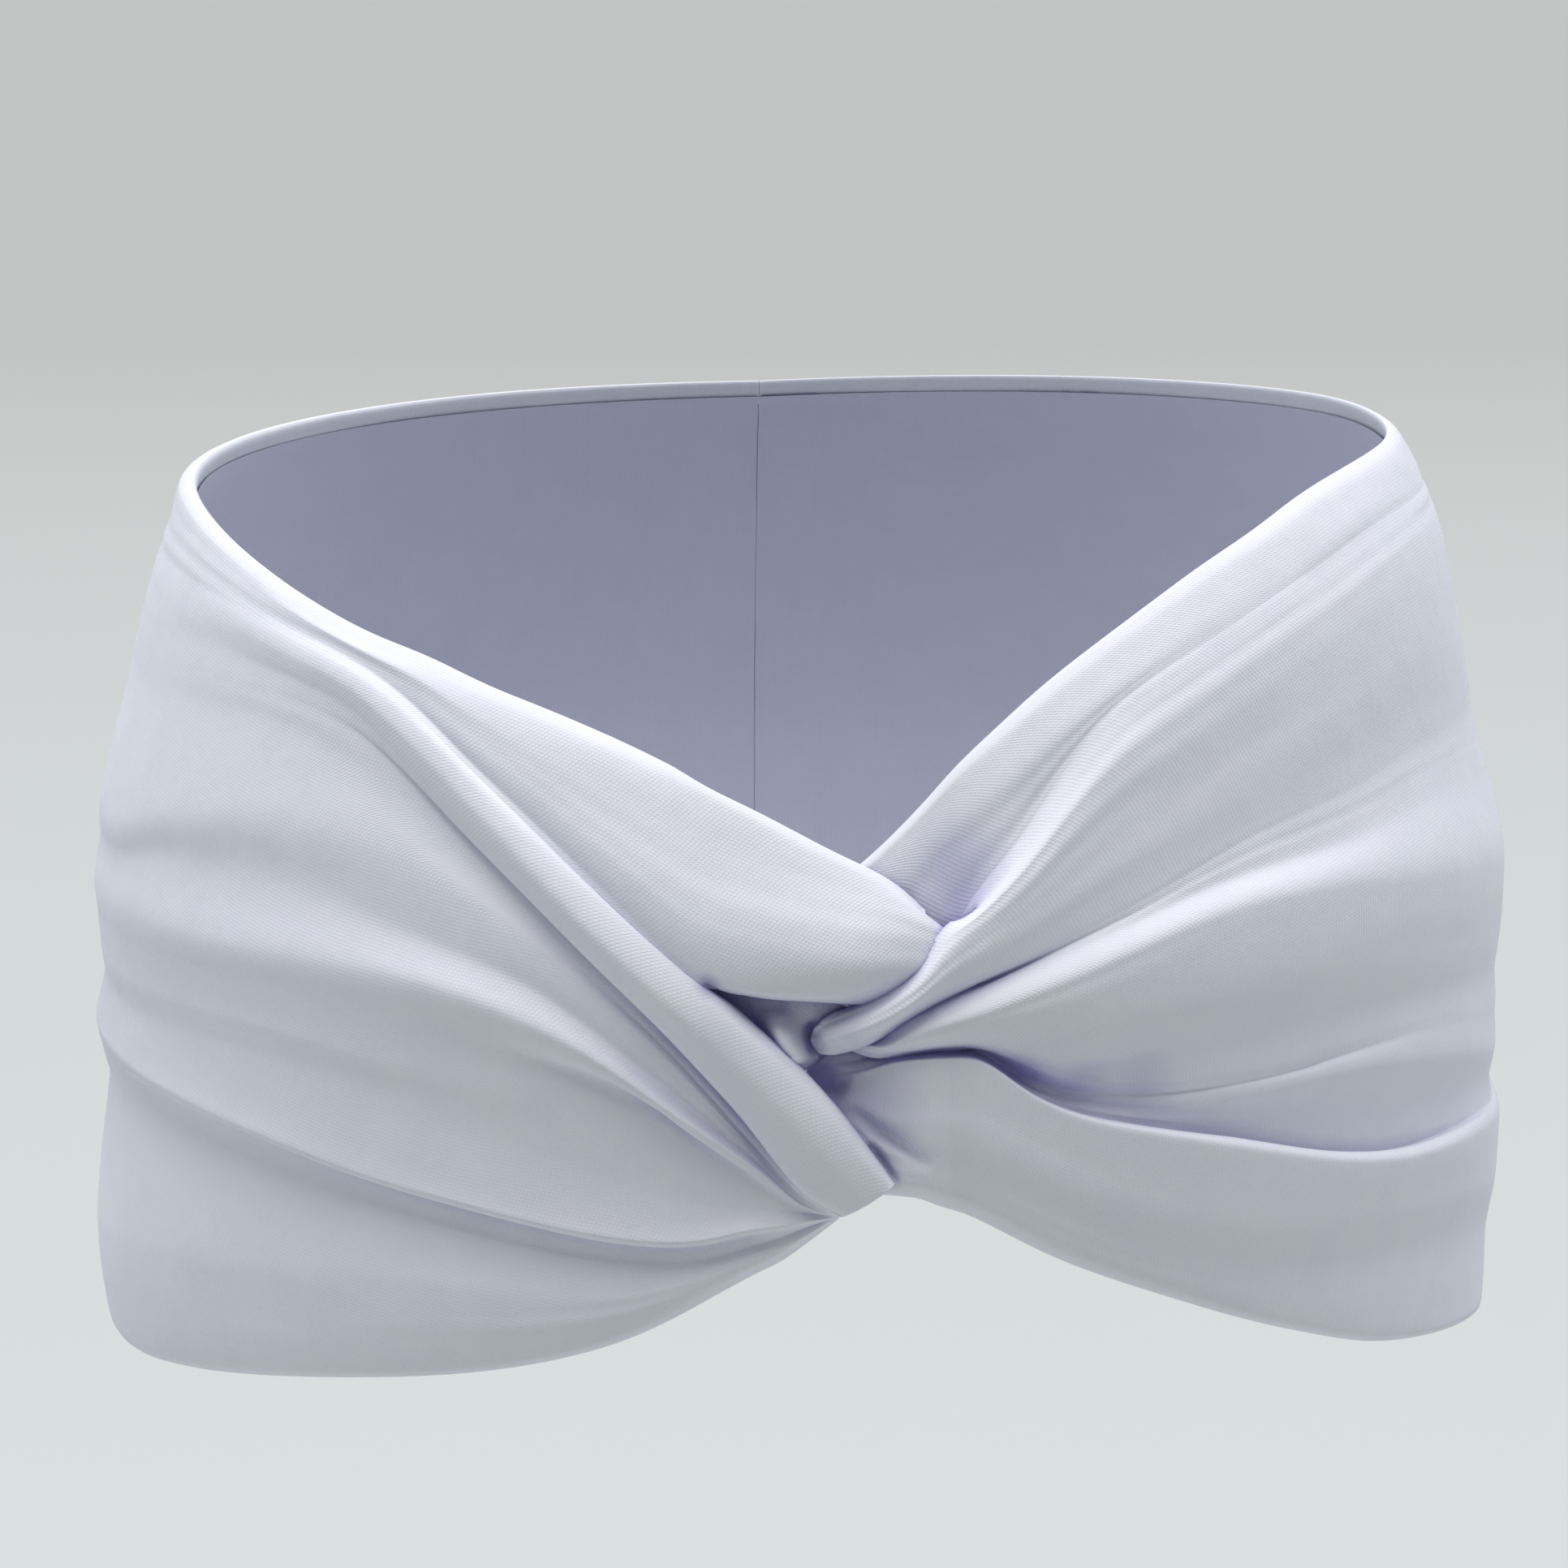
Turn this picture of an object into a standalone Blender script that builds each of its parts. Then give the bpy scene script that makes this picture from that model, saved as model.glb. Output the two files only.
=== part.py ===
"""Twist-front headband of soft jersey, in the form it has when worn.

Two wraps run round the head from a seam at the centre back and cross in a
soft twist at the centre front.  Every fold line of a wrap is a rail: a row
of heights above the middle of the band at named angles from the centre
front, with its lift off the head.  The cloth surface is spun smoothly
between the rails, and a second surface under it closes the wall.

Metres, +Z up, the front of the band faces -Y.  The origin is the centre of
the head opening at mid height.
"""

import math

import bpy
import numpy as np

MM = 0.001

# Driving sizes, millimetres.
HEAD_DEPTH_RATIO = 1.235   # front-to-back half depth over half width
CLOTH_WALL = 1.6           # folded jersey, two plies
LEAST_WALL = 0.9           # where the cloth is drawn thin at the strand ends
UNDER_FOLLOW = 0.5         # how far the lining side follows the folds
SEAM_HALF_GAP = 0.15       # clearance at the centre back seam, each side

# Half width of the head under the band.
HEAD_COLUMNS = ("height", "half_width")
HEAD = (
    (-50.0, 75.5),
    (-20.0, 76.0),
    (5.0, 76.0),
    (27.0, 72.4),
    (47.0, 67.2),
    (57.0, 63.0),
)

# Left wrap.
# Angles from the centre front, degrees; the wrap lies on the negative side.
LEFT_ANGLES = (180, 135, 100, 78, 62, 50, 42, 36, 30, 24, 18, 14, 11)
# Heights of the fold lines at those angles.
LEFT_HEIGHTS = (
    ("hem_top", 50.6, 49.8, 48.6, 47, 44, 40.7, 38.4, 37, 34.8, 32.8, 30.3, 28.3, 26.7),
    ("panel_high", 48, 47.5, 46.8, 45.6, 43, 40, 37.8, 35.9, 32.6, 29.2, 25.2, 22.4, 20.2),
    ("panel_low", 46, 45.5, 45.1, 44.2, 42, 39.3, 37.2, 34.8, 30.6, 26, 20.8, 16.9, 14.2),
    ("panel_edge", 43.5, 43.2, 43, 42.6, 41, 38.6, 36.6, 33.7, 28.8, 23.4, 17.4, 13, 9.8),
    ("roll_edge", 41.5, 41.2, 41, 41, 40, 37.9, 36, 32.9, 27.9, 22.4, 16.3, 11.9, 8.7),
    ("roll_crest", 38, 38, 38, 38, 38, 36.4, 34.6, 31, 25.8, 20, 13.4, 8.8, 5.2),
    ("roll_foot", 33, 33, 33, 34, 35, 34, 32.2, 28, 22.4, 16.4, 9.6, 4.7, 0.4),
    ("dip_below_roll", 28, 28, 28, 28, 29.6, 30, 28, 24.6, 19.2, 13.6, 7.4, 2.7, -1.6),
    ("fold_a", 15, 14, 12.5, 13, 17.4, 20, 20.2, 19, 16, 11.6, 5.8, 1.3, -2.9),
    ("dip_ab", 10, 9, 8, 8.8, 12.6, 14, 13.9, 12.4, 10.6, 8, 3, -1, -4.4),
    ("fold_b", 4, 4, 3.5, 4, 5.6, 6.6, 7, 7.1, 6.5, 4.6, 0.9, -2.9, -5.7),
    ("dip_bc", -5, -5, -4.6, -4.2, -2.4, 0, 0.8, 0, -1.8, -4, -6.6, -9.7, -11.6),
    ("fold_c", -15, -14, -13, -11.5, -11.4, -12, -13, -14, -14.8, -15.8, -16.7, -16.9, -16.4),
    ("dip_below_c", -22, -21, -20, -17.2, -15.4, -15.4, -16.2, -17, -17.8, -18.7, -19.3, -19.2, -18.5),
    ("low_panel", -36, -36, -36, -34, -30, -28, -27, -26.4, -25.6, -24.8, -23.6, -22, -20.4),
    ("hem_low", -46, -46.5, -47, -45.5, -41.8, -38.3, -36, -34.3, -32.5, -30.3, -27.4, -24.6, -22.1),
)
# Lift of the cloth off the head at fewer angles.
LEFT_LIFT_ANGLES = (180, 100, 62, 42, 30, 18, 11)
LEFT_LIFTS = (
    ("hem_top", 1.7, 2.7, 2.4, 2.2, 2.4, 2.8, 3.2),
    ("panel_high", 1.9, 2.6, 2.6, 3.0, 3.4, 4.4, 4.9),
    ("panel_low", 2.1, 2.4, 2.8, 2.8, 3.6, 5.0, 5.8),
    ("panel_edge", 2.2, 2.5, 2.9, 2.6, 2.6, 3.0, 3.4),
    ("roll_edge", 2.3, 2.6, 3.0, 3.6, 4.2, 4.6, 4.6),
    ("roll_crest", 2.5, 2.8, 3.2, 4.2, 5.4, 6.6, 7.0),
    ("roll_foot", 2.5, 2.9, 3.0, 3.2, 3.2, 3.4, 3.6),
    ("dip_below_roll", 2.5, 2.9, 2.8, 2.4, 1.9, 1.7, 1.7),
    ("fold_a", 2.5, 3.5, 4.0, 3.8, 3.4, 2.6, 2.0),
    ("dip_ab", 2.4, 3.3, 3.0, 2.8, 2.8, 2.2, 1.9),
    ("fold_b", 2.5, 3.7, 4.0, 4.4, 4.6, 4.6, 4.2),
    ("dip_bc", 2.4, 2.7, 2.7, 2.6, 2.4, 2.2, 2.2),
    ("fold_c", 2.5, 3.9, 4.2, 4.4, 4.6, 4.6, 4.4),
    ("dip_below_c", 2.3, 2.5, 2.0, 1.7, 1.7, 1.8, 2.0),
    ("low_panel", 2.6, 4.7, 4.0, 3.2, 3.0, 2.8, 2.8),
    ("hem_low", 1.7, 3.8, 2.6, 2.0, 1.9, 2.0, 2.0),
)
# The twist end of each rail: four more knots, going towards the twist.  The last
# column of a knot is the level of the cloth's underside there.
KNOT_COLUMNS = ("angle", "height", "lift", "under")
LEFT_ENDS = (
    ("hem_top", -7, 24.3, 3.5, 2.0, -3, 21.6, 3.6, 2.0, 0.2, 19.6, 3.6, 2.0, 2.4, 18.0, 3.2, 2.0),
    ("panel_high", -7, 18.9, 5.2, 2.0, -3, 17.4, 5.5, 2.0, 1.4, 16.4, 5.4, 2.0, 4.9, 15.2, 3.4, 2.0),
    ("panel_low", -7, 13, 6.3, 2.0, -3, 12.2, 6.6, 2.0, 1.2, 12.2, 6.3, 2.0, 5.0, 13.1, 3.4, 2.0),
    ("panel_edge", -7, 8.4, 3.6, 2.0, -3.6, 7.9, 3.6, 2.0, -0.8, 7.9, 3.6, 2.0, 1.6, 9.2, 3.2, 2.0),
    ("roll_edge", -8, 5.0, 4.8, 2.0, -5.4, 1.8, 5.0, 2.6, -2.4, -2.8, 5.0, 2.8, 1.6, -10.2, 4.2, 2.8),
    ("roll_crest", -8, 1.2, 7.2, 2.0, -5.6, -2.2, 7.5, 2.4, -2.9, -6.2, 7.4, 2.8, 1.1, -10.9, 5.0, 2.8),
    ("roll_foot", -8, -4.2, 3.8, 1.0, -6.0, -8.0, 4.0, 1.4, -3.6, -9.6, 4.6, 2.4, 0.6, -11.4, 4.0, 2.8),
    ("dip_below_roll", -8, -6.4, 1.9, 0, -6.2, -9.0, 2.6, 0.5, -3.8, -10.3, 3.6, 1.8, 0.2, -11.7, 3.8, 2.7),
    ("fold_a", -8, -7.0, 2.0, 0, -6.2, -9.5, 2.8, 0.4, -3.9, -10.7, 3.6, 1.6, 0.0, -11.9, 3.7, 2.6),
    ("dip_ab", -8, -7.6, 2.2, 0, -6.2, -9.9, 2.9, 0.3, -3.9, -11.1, 3.6, 1.5, -0.1, -12.1, 3.6, 2.5),
    ("fold_b", -8, -8.5, 4.0, 0, -6.1, -10.6, 4.2, 0.2, -3.9, -11.6, 4.2, 1.4, -0.3, -12.3, 3.6, 2.4),
    ("dip_bc", -8, -12.4, 2.4, 0, -6.1, -12.9, 2.8, 0.2, -3.9, -12.8, 3.2, 1.0, -0.5, -12.6, 3.4, 2.2),
    ("fold_c", -8, -15.2, 4.2, 0, -6.0, -14.6, 4.2, 0, -3.9, -13.8, 4.0, 0.6, -0.7, -12.9, 3.2, 1.6),
    ("dip_below_c", -8, -17.1, 2.3, 0, -6.0, -16.2, 2.5, 0, -3.9, -14.8, 2.6, 0.3, -0.9, -13.2, 2.8, 1.2),
    ("low_panel", -8, -18.5, 2.8, 0, -6.0, -17.3, 2.8, 0, -3.9, -15.5, 2.8, 0, -1.1, -13.5, 2.7, 1.0),
    ("hem_low", -8, -19.7, 2.0, 0, -6.0, -18.3, 2.0, 0, -3.9, -16.1, 2.1, 0, -1.3, -13.8, 2.2, 0.8),
)
# Level of the underside at the last two main angles, where the wrap climbs
# over the layer behind it.
LEFT_CLIMB = (
    ("hem_top", 0.8, 2.0),
    ("panel_high", 0.8, 2.0),
    ("panel_low", 0.8, 2.0),
    ("panel_edge", 0.8, 2.0),
    ("roll_edge", 0.8, 2.0),
    ("roll_crest", 0.8, 2.0),
    ("roll_foot", 0.3, 0.8),
)
# Rails under which the strands part at the twist.
LEFT_SLITS = ("panel_edge",)

# Right wrap.
RIGHT_ANGLES = (180, 135, 100, 80, 64, 54, 46, 38, 31, 25, 20, 15, 11, 8)
RIGHT_HEIGHTS = (
    ("hem_top", 50.6, 52.8, 54, 53.6, 53.2, 52.4, 51, 48.3, 45.5, 42.3, 39.2, 35.6, 31.9, 28.9),
    ("back_mid", 44, 46, 48.4, 50, 50.2, 49.7, 47.5, 44.4, 41.4, 38.2, 35, 30.8, 26.4, 23.4),
    ("back_foot", 38, 41, 44.6, 47.4, 47.2, 46, 43.8, 41, 37.7, 34.6, 31.6, 26.6, 21.4, 18.2),
    ("tip_edge", 35, 38, 42, 45.8, 45.6, 44.4, 42.3, 39.5, 36.2, 33, 29.9, 24.8, 19.6, 16.6),
    ("tip_mid", 25, 28, 31, 34, 34, 33.6, 32, 30, 27.6, 25, 22.2, 18.4, 14.8, 12.6),
    ("tip_foot", 16, 18, 20, 21.5, 22.8, 23, 21.8, 20.5, 19.2, 17, 14.7, 12.4, 10.4, 9),
    ("fold_d_top", 14, 16, 18, 19.5, 21, 21.2, 20, 18.9, 17.8, 16, 13.8, 11.5, 9.5, 8.1),
    ("fold_d", 8, 9, 9, 8, 10.6, 12.4, 13.6, 14.6, 14.5, 13.3, 11.4, 9.2, 7.4, 6),
    ("fold_d_foot", -2, -2, -3, -5.6, -3, -1.2, 0, 0, -0.5, -0.8, -1, -1.4, 0.6, 2.4),
    ("fold_e", -8, -9, -11, -13.5, -10, -7.4, -5.6, -5, -5.4, -5.7, -5.4, -4.2, -1.6, 1),
    ("dip_ef", -12, -13, -15, -17.5, -13.8, -11.2, -9.4, -8.3, -8, -7.7, -6.9, -5.2, -2.3, 0.5),
    ("fold_f", -18, -19, -20, -21.5, -18.2, -16.8, -16, -14.2, -11.9, -9.8, -8.1, -6, -3, -0.1),
    ("fold_f_mid", -26, -26, -27, -28, -25, -22.8, -21.5, -20.2, -18.4, -16.2, -13.8, -10.6, -7.5, -5),
    ("dip_low", -36, -36, -36, -35.5, -31, -28.4, -26.4, -25, -23.3, -21.4, -19.2, -15.9, -13, -10.8),
    ("hem_low", -46, -46, -45.5, -44, -40.2, -37.6, -35.3, -31.8, -28.4, -25.1, -22.3, -19.3, -16.3, -14),
)
RIGHT_LIFT_ANGLES = (180, 100, 64, 46, 31, 20, 11, 8)
RIGHT_LIFTS = (
    ("hem_top", 1.7, 1.9, 2.2, 2.2, 2.2, 2.2, 2.0, 1.9),
    ("back_mid", 2.2, 2.4, 2.8, 3.2, 3.2, 3.0, 2.6, 2.2),
    ("back_foot", 2.4, 2.6, 2.4, 2.0, 1.9, 1.9, 1.7, 1.6),
    ("tip_edge", 2.5, 2.2, 3.6, 4.6, 4.8, 5.0, 5.0, 4.8),
    ("tip_mid", 2.4, 1.9, 2.6, 3.6, 4.2, 4.8, 5.4, 5.7),
    ("tip_foot", 2.4, 2.0, 2.0, 2.4, 2.6, 2.8, 3.2, 3.4),
    ("fold_d_top", 2.4, 2.1, 2.4, 3.0, 3.0, 3.2, 3.5, 3.6),
    ("fold_d", 2.7, 2.6, 3.8, 5.0, 5.4, 5.6, 5.8, 5.8),
    ("fold_d_foot", 2.2, 1.5, 1.5, 1.6, 1.6, 1.7, 1.8, 2.0),
    ("fold_e", 2.4, 2.2, 2.8, 3.6, 3.2, 2.6, 2.2, 2.2),
    ("dip_ef", 2.3, 2.0, 1.7, 1.6, 1.6, 1.8, 2.2, 2.6),
    ("fold_f", 2.5, 2.6, 3.6, 4.4, 4.4, 4.2, 3.8, 3.6),
    ("fold_f_mid", 2.6, 2.7, 3.2, 3.8, 4.2, 4.4, 4.6, 4.6),
    ("dip_low", 2.2, 1.8, 2.0, 2.4, 2.8, 3.2, 3.6, 3.6),
    ("hem_low", 1.7, 1.9, 2.0, 2.0, 2.0, 2.0, 2.0, 2.0),
)
RIGHT_ENDS = (
    ("hem_top", 5, 25.1, 1.7, 0, 0.5, 19.0, 1.7, 0, -4, 16.6, 1.7, 0, -9.2, 13.0, 1.6, 0),
    ("back_mid", 5, 20.2, 1.7, 0, 0.5, 13.2, 1.7, 0, -4, 10.8, 1.7, 0, -9.8, 10.0, 1.6, 0),
    ("back_foot", 4.8, 15.4, 1.6, 0, 0.6, 5.4, 1.6, 0, -4, 1.7, 1.6, 0, -8.8, 5.5, 1.5, 0),
    ("tip_edge", 5.9, 13.8, 4.4, 2.1, 3.4, 9.6, 4.2, 2.1, 0.4, 7.1, 4.0, 2.1, -2.6, 5.0, 3.4, 2.1),
    ("tip_mid", 5.6, 10.6, 6.2, 1.6, 3.2, 7.8, 6.8, 2.1, 0.2, 5.4, 6.6, 2.1, -3.1, 3.9, 3.9, 2.1),
    ("tip_foot", 5.4, 7.5, 3.6, 0.6, 3.0, 5.9, 3.8, 1.6, 0.6, 4.0, 3.8, 2.1, -2.2, 2.9, 3.3, 2.1),
    ("fold_d_top", 5.2, 6.7, 3.6, 0, 2.8, 5.1, 3.6, 0.8, 0.9, 3.3, 3.6, 1.9, -0.7, 2.3, 3.2, 1.9),
    ("fold_d", 5.2, 5.0, 5.4, 0, 2.8, 3.9, 4.8, 0.8, 0.9, 2.7, 4.2, 1.9, -0.9, 2.0, 3.3, 1.9),
    ("fold_d_foot", 5.2, 2.6, 2.4, 0, 2.8, 2.3, 2.6, 0.8, 0.9, 1.9, 2.9, 1.5, -0.7, 1.7, 2.9, 1.5),
    ("fold_e", 5.2, 1.5, 2.4, 0, 2.6, 1.3, 2.4, 0, 0.4, 1.0, 2.2, 0, -1.6, 0.7, 1.8, 0),
    ("dip_ef", 5.2, 1.1, 3.0, 0, 2.6, 0.8, 3.0, 0, 0.4, 0.4, 2.6, 0, -2.0, 0.1, 1.9, 0),
    ("fold_f", 5.0, 0.3, 3.8, 0, 2.4, -0.2, 3.7, 0, 0.0, -0.8, 3.0, 0, -2.6, -1.2, 2.0, 0),
    ("fold_f_mid", 5.2, -4.2, 4.7, 0, 3.0, -4.2, 4.5, 0, 0.9, -4.4, 3.4, 0, -1.8, -4.4, 2.1, 0),
    ("dip_low", 5.6, -9.2, 4.0, 0, 4.2, -8.7, 4.0, 0, 2.6, -8.3, 3.2, 0, -0.2, -8.0, 2.1, 0),
    ("hem_low", 5.6, -12.8, 2.3, 0, 4.2, -12.0, 2.3, 0, 2.7, -11.6, 2.3, 0, 0.1, -11.2, 1.9, 0),
)
RIGHT_SLITS = ("back_foot", "tip_foot", "fold_d_foot")

# Steps of the faceted surface.
STEP_ANGLE = 7.0       # longest step round the head, degrees
FRONT_ANGLE = 60       # inside this angle the folds need finer steps
STEPS_FRONT = 2        # fewest steps there between two angles of a table
STEPS_TWIST = 3        # steps between two knots of a twist end
STEPS_ACROSS = 2       # steps between neighbouring rails

# Knots of each rail along which the strands are parted.
PARTED_KNOTS = 4
TINY = 1e-12

CLOTH_ROUGHNESS = 0.85
WRAPS = (
    {
        "name": "left_wrap",
        "side": -1,
        "colour": (0.80, 0.81, 0.86),
        "angles": LEFT_ANGLES,
        "heights": LEFT_HEIGHTS,
        "lift_angles": LEFT_LIFT_ANGLES,
        "lifts": LEFT_LIFTS,
        "ends": LEFT_ENDS,
        "climb": LEFT_CLIMB,
        "slits": LEFT_SLITS,
    },
    {
        "name": "right_wrap",
        "side": 1,
        "colour": (0.82, 0.83, 0.88),
        "angles": RIGHT_ANGLES,
        "heights": RIGHT_HEIGHTS,
        "lift_angles": RIGHT_LIFT_ANGLES,
        "lifts": RIGHT_LIFTS,
        "ends": RIGHT_ENDS,
        "climb": (),
        "slits": RIGHT_SLITS,
    },
)


def clear_scene():
    for thing in list(bpy.data.objects):
        bpy.data.objects.remove(thing, do_unlink=True)


def tangents(values, places):
    """Slopes of a smooth curve through values at rising places, with no overshoot."""
    steps = np.diff(places).reshape((-1,) + (1,) * (values.ndim - 1))
    slopes = np.diff(values, axis=0) / steps
    before, after = slopes[:-1], slopes[1:]
    total = np.where(np.abs(before + after) < TINY, 1.0, before + after)
    inner = np.where(before * after > 0, 2 * before * after / total, 0.0)
    return np.concatenate([slopes[:1], inner, slopes[-1:]])


def smooth(values, places, at):
    """Smooth curve through values (first axis) at rising places, read at the places in at."""
    values, places, at = (np.asarray(a, float) for a in (values, places, at))
    slope = tangents(values, places)
    k = np.clip(np.searchsorted(places, at, side="right") - 1, 0, len(places) - 2)
    gap = places[k + 1] - places[k]
    t = (at - places[k]) / gap
    shape = (-1,) + (1,) * (values.ndim - 1)
    t, gap = t.reshape(shape), gap.reshape(shape)
    return (
        (2 * t**3 - 3 * t**2 + 1) * values[k]
        + (t**3 - 2 * t**2 + t) * gap * slope[k]
        + (-2 * t**3 + 3 * t**2) * values[k + 1]
        + (t**3 - t**2) * gap * slope[k + 1]
    )


def half_width(height):
    """Half width of the head at a height (mm)."""
    head = dict(zip(HEAD_COLUMNS, np.array(HEAD).T))
    return smooth(head["half_width"], head["height"], np.ravel(height)).reshape(np.shape(height))


def head_point(angle, height, lift):
    """Point at an angle from the centre front, a height and a lift off the head (mm)."""
    wide = half_width(height)
    deep = wide * HEAD_DEPTH_RATIO
    turn = np.radians(angle)
    x, y = wide * np.sin(turn), -deep * np.cos(turn)
    nx, ny = np.sin(turn) / wide, -np.cos(turn) / deep
    size = np.hypot(nx, ny)
    return np.stack([x + lift * nx / size, y + lift * ny / size, height + 0 * x], -1)


def rail_knots(wrap):
    """One array of knots per rail, with the columns named above."""
    side, angles = wrap["side"], np.array(wrap["angles"], float)
    lift_angles = np.array(wrap["lift_angles"], float)
    climb = {row[0]: row[1:] for row in wrap["climb"]}
    turn = side * angles
    turn[0] -= side * math.degrees(SEAM_HALF_GAP / half_width(0.0))
    knots = []
    for (rail, *heights), (_, *lifts), (_, *ends) in zip(wrap["heights"], wrap["lifts"], wrap["ends"]):
        lift = smooth(lifts, -lift_angles, -angles)
        under = np.zeros(len(angles))
        if rail in climb:
            under[-2:] = climb[rail]
        main = np.stack([turn, np.array(heights, float), lift, under], 1)
        knots.append(np.concatenate([main, np.array(ends, float).reshape(-1, len(KNOT_COLUMNS))]))
    return np.array(knots)


def rows_along(angles, last):
    """Where the rows of the surface lie along the rails, counted in knots."""
    at = [0.0]
    for k in range(last):
        steps = STEPS_TWIST
        if k + 1 < len(angles):
            fewest = 1 if angles[k] > FRONT_ANGLE else STEPS_FRONT
            steps = max(fewest, math.ceil((angles[k] - angles[k + 1]) / STEP_ANGLE))
        at += [k + (i + 1) / steps for i in range(steps)]
    return np.array(at)


def surface_grid(knots, at, groups):
    """A fine grid of rows along and columns across, and the columns where groups meet."""
    fine = np.stack([smooth(rail, np.arange(len(rail)), at) for rail in knots], 1)
    columns, joints, made = [], [], 0
    for first, end in groups:
        count = end - first
        spots = np.linspace(0, count - 1, (count - 1) * STEPS_ACROSS + 1)
        block = smooth(np.swapaxes(fine[:, first:end], 0, 1), np.arange(count), spots)
        columns.append(np.swapaxes(block, 0, 1))
        made += len(spots)
        joints.append(made - 1)
    return np.concatenate(columns, 1), joints[:-1]


def surface_quads(rows, cols, joints, parted_row):
    """Faces of the outer surface, left out under the joints where the strands part."""
    quads = []
    for i in range(rows - 1):
        for j in range(cols - 1):
            if j in joints and i >= parted_row:
                continue
            a, b = i * cols + j, (i + 1) * cols + j
            quads.append((a, a + 1, b + 1, b))
    return quads


def border_edges(quads):
    """Edges that only one face has."""
    edges = {(a, b) for q in quads for a, b in zip(q, q[1:] + q[:1])}
    return sorted((a, b) for a, b in edges if (b, a) not in edges)


def closed_cloth(name, grid, quads, flip):
    """A closed wall of cloth: its outer surface, its lining side and the borders."""
    angle, height, lift, under = np.moveaxis(grid, -1, 0)
    lining = under + UNDER_FOLLOW * np.maximum(lift - under - CLOTH_WALL, 0.0)
    outer = head_point(angle, height, lift)
    inner = head_point(angle, height, np.minimum(lining, lift - LEAST_WALL))
    points = np.concatenate([outer.reshape(-1, 3), inner.reshape(-1, 3)]) * MM
    shift = angle.size
    faces = list(quads)
    faces += [tuple(v + shift for v in reversed(q)) for q in quads]
    faces += [(b, a, a + shift, b + shift) for a, b in border_edges(quads)]
    if flip:
        faces = [tuple(reversed(f)) for f in faces]
    mesh = bpy.data.meshes.new(name)
    mesh.from_pydata(points.tolist(), [], faces)
    mesh.validate()
    for face in mesh.polygons:
        face.use_smooth = True
    return mesh


def cloth_material(name, colour):
    material = bpy.data.materials.new(name + "_jersey")
    material.use_nodes = True
    shader = material.node_tree.nodes["Principled BSDF"]
    shader.inputs["Base Color"].default_value = (*colour, 1.0)
    shader.inputs["Roughness"].default_value = CLOTH_ROUGHNESS
    return material


def build_wrap(wrap, collection):
    name = wrap["name"]
    knots = rail_knots(wrap)
    rails, last = len(knots), knots.shape[1] - 1
    rail_names = [row[0] for row in wrap["heights"]]
    cuts = [rail_names.index(rail) + 1 for rail in wrap["slits"]]
    at = rows_along(wrap["angles"], last)
    grid, joints = surface_grid(knots, at, list(zip([0] + cuts, cuts + [rails])))
    parted_row = int(np.argmin(np.abs(at - (last - PARTED_KNOTS))))
    quads = surface_quads(*grid.shape[:2], joints, parted_row)
    mesh = closed_cloth(name, grid, quads, wrap["side"] > 0)
    mesh.materials.append(cloth_material(name, wrap["colour"]))
    collection.objects.link(bpy.data.objects.new(name, mesh))


def main():
    clear_scene()
    band = bpy.data.collections.new("twist_headband")
    bpy.context.scene.collection.children.link(band)
    for wrap in WRAPS:
        build_wrap(wrap, band)


main()
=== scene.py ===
"""Looks of the twist headband: fine cloth meshes, jersey material, light and camera.

The cloth is built as the solids are: each fold line is a rail, a row of
heights at named angles from the centre front, and the cloth is spun between
the rails.  Here it also tucks under itself where one fold lies over the
next, curls round its hems and strand ends, and carries the small gathers.
Tables are in millimetres and degrees, and meshes in metres.
"""

import math

import bpy
import numpy as np
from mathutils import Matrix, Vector
from mathutils.bvhtree import BVHTree


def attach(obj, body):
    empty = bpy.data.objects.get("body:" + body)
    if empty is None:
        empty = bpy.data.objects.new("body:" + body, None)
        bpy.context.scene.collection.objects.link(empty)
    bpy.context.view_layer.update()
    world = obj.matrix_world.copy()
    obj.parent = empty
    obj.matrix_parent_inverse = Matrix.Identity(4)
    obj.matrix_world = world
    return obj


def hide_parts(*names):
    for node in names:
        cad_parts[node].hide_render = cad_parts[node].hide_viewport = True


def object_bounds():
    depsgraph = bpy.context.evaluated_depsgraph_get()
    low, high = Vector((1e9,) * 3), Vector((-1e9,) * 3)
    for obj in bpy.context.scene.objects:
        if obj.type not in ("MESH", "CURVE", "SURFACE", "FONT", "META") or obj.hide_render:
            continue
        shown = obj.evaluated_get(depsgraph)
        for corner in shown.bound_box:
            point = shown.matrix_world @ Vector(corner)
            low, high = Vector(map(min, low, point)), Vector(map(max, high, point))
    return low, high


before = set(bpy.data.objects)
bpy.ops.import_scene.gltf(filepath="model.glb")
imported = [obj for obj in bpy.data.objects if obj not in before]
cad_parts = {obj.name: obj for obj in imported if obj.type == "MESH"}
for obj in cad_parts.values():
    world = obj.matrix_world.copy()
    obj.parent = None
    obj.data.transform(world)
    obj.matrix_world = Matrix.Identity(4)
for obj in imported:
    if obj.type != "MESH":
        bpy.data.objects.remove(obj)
CAD_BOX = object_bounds()

MM = 0.001
HEAD_DEPTH_RATIO = 1.235   # front-to-back half depth over half width
SEAM_HALF_GAP = 0.02       # clearance at the centre back seam, each side

# Half width of the head under the band.  Columns: height, half width.
HEAD = (
    (-50.0, 75.5),
    (-20.0, 76.0),
    (5.0, 76.0),
    (27.0, 72.4),
    (47.0, 67.2),
    (57.0, 63.0),
)

# Left wrap.
# Angles from the centre front, degrees; the wrap lies on the negative side.
LEFT_ANGLES = (180, 135, 100, 78, 62, 50, 42, 36, 30, 24, 18, 14, 11)
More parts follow.
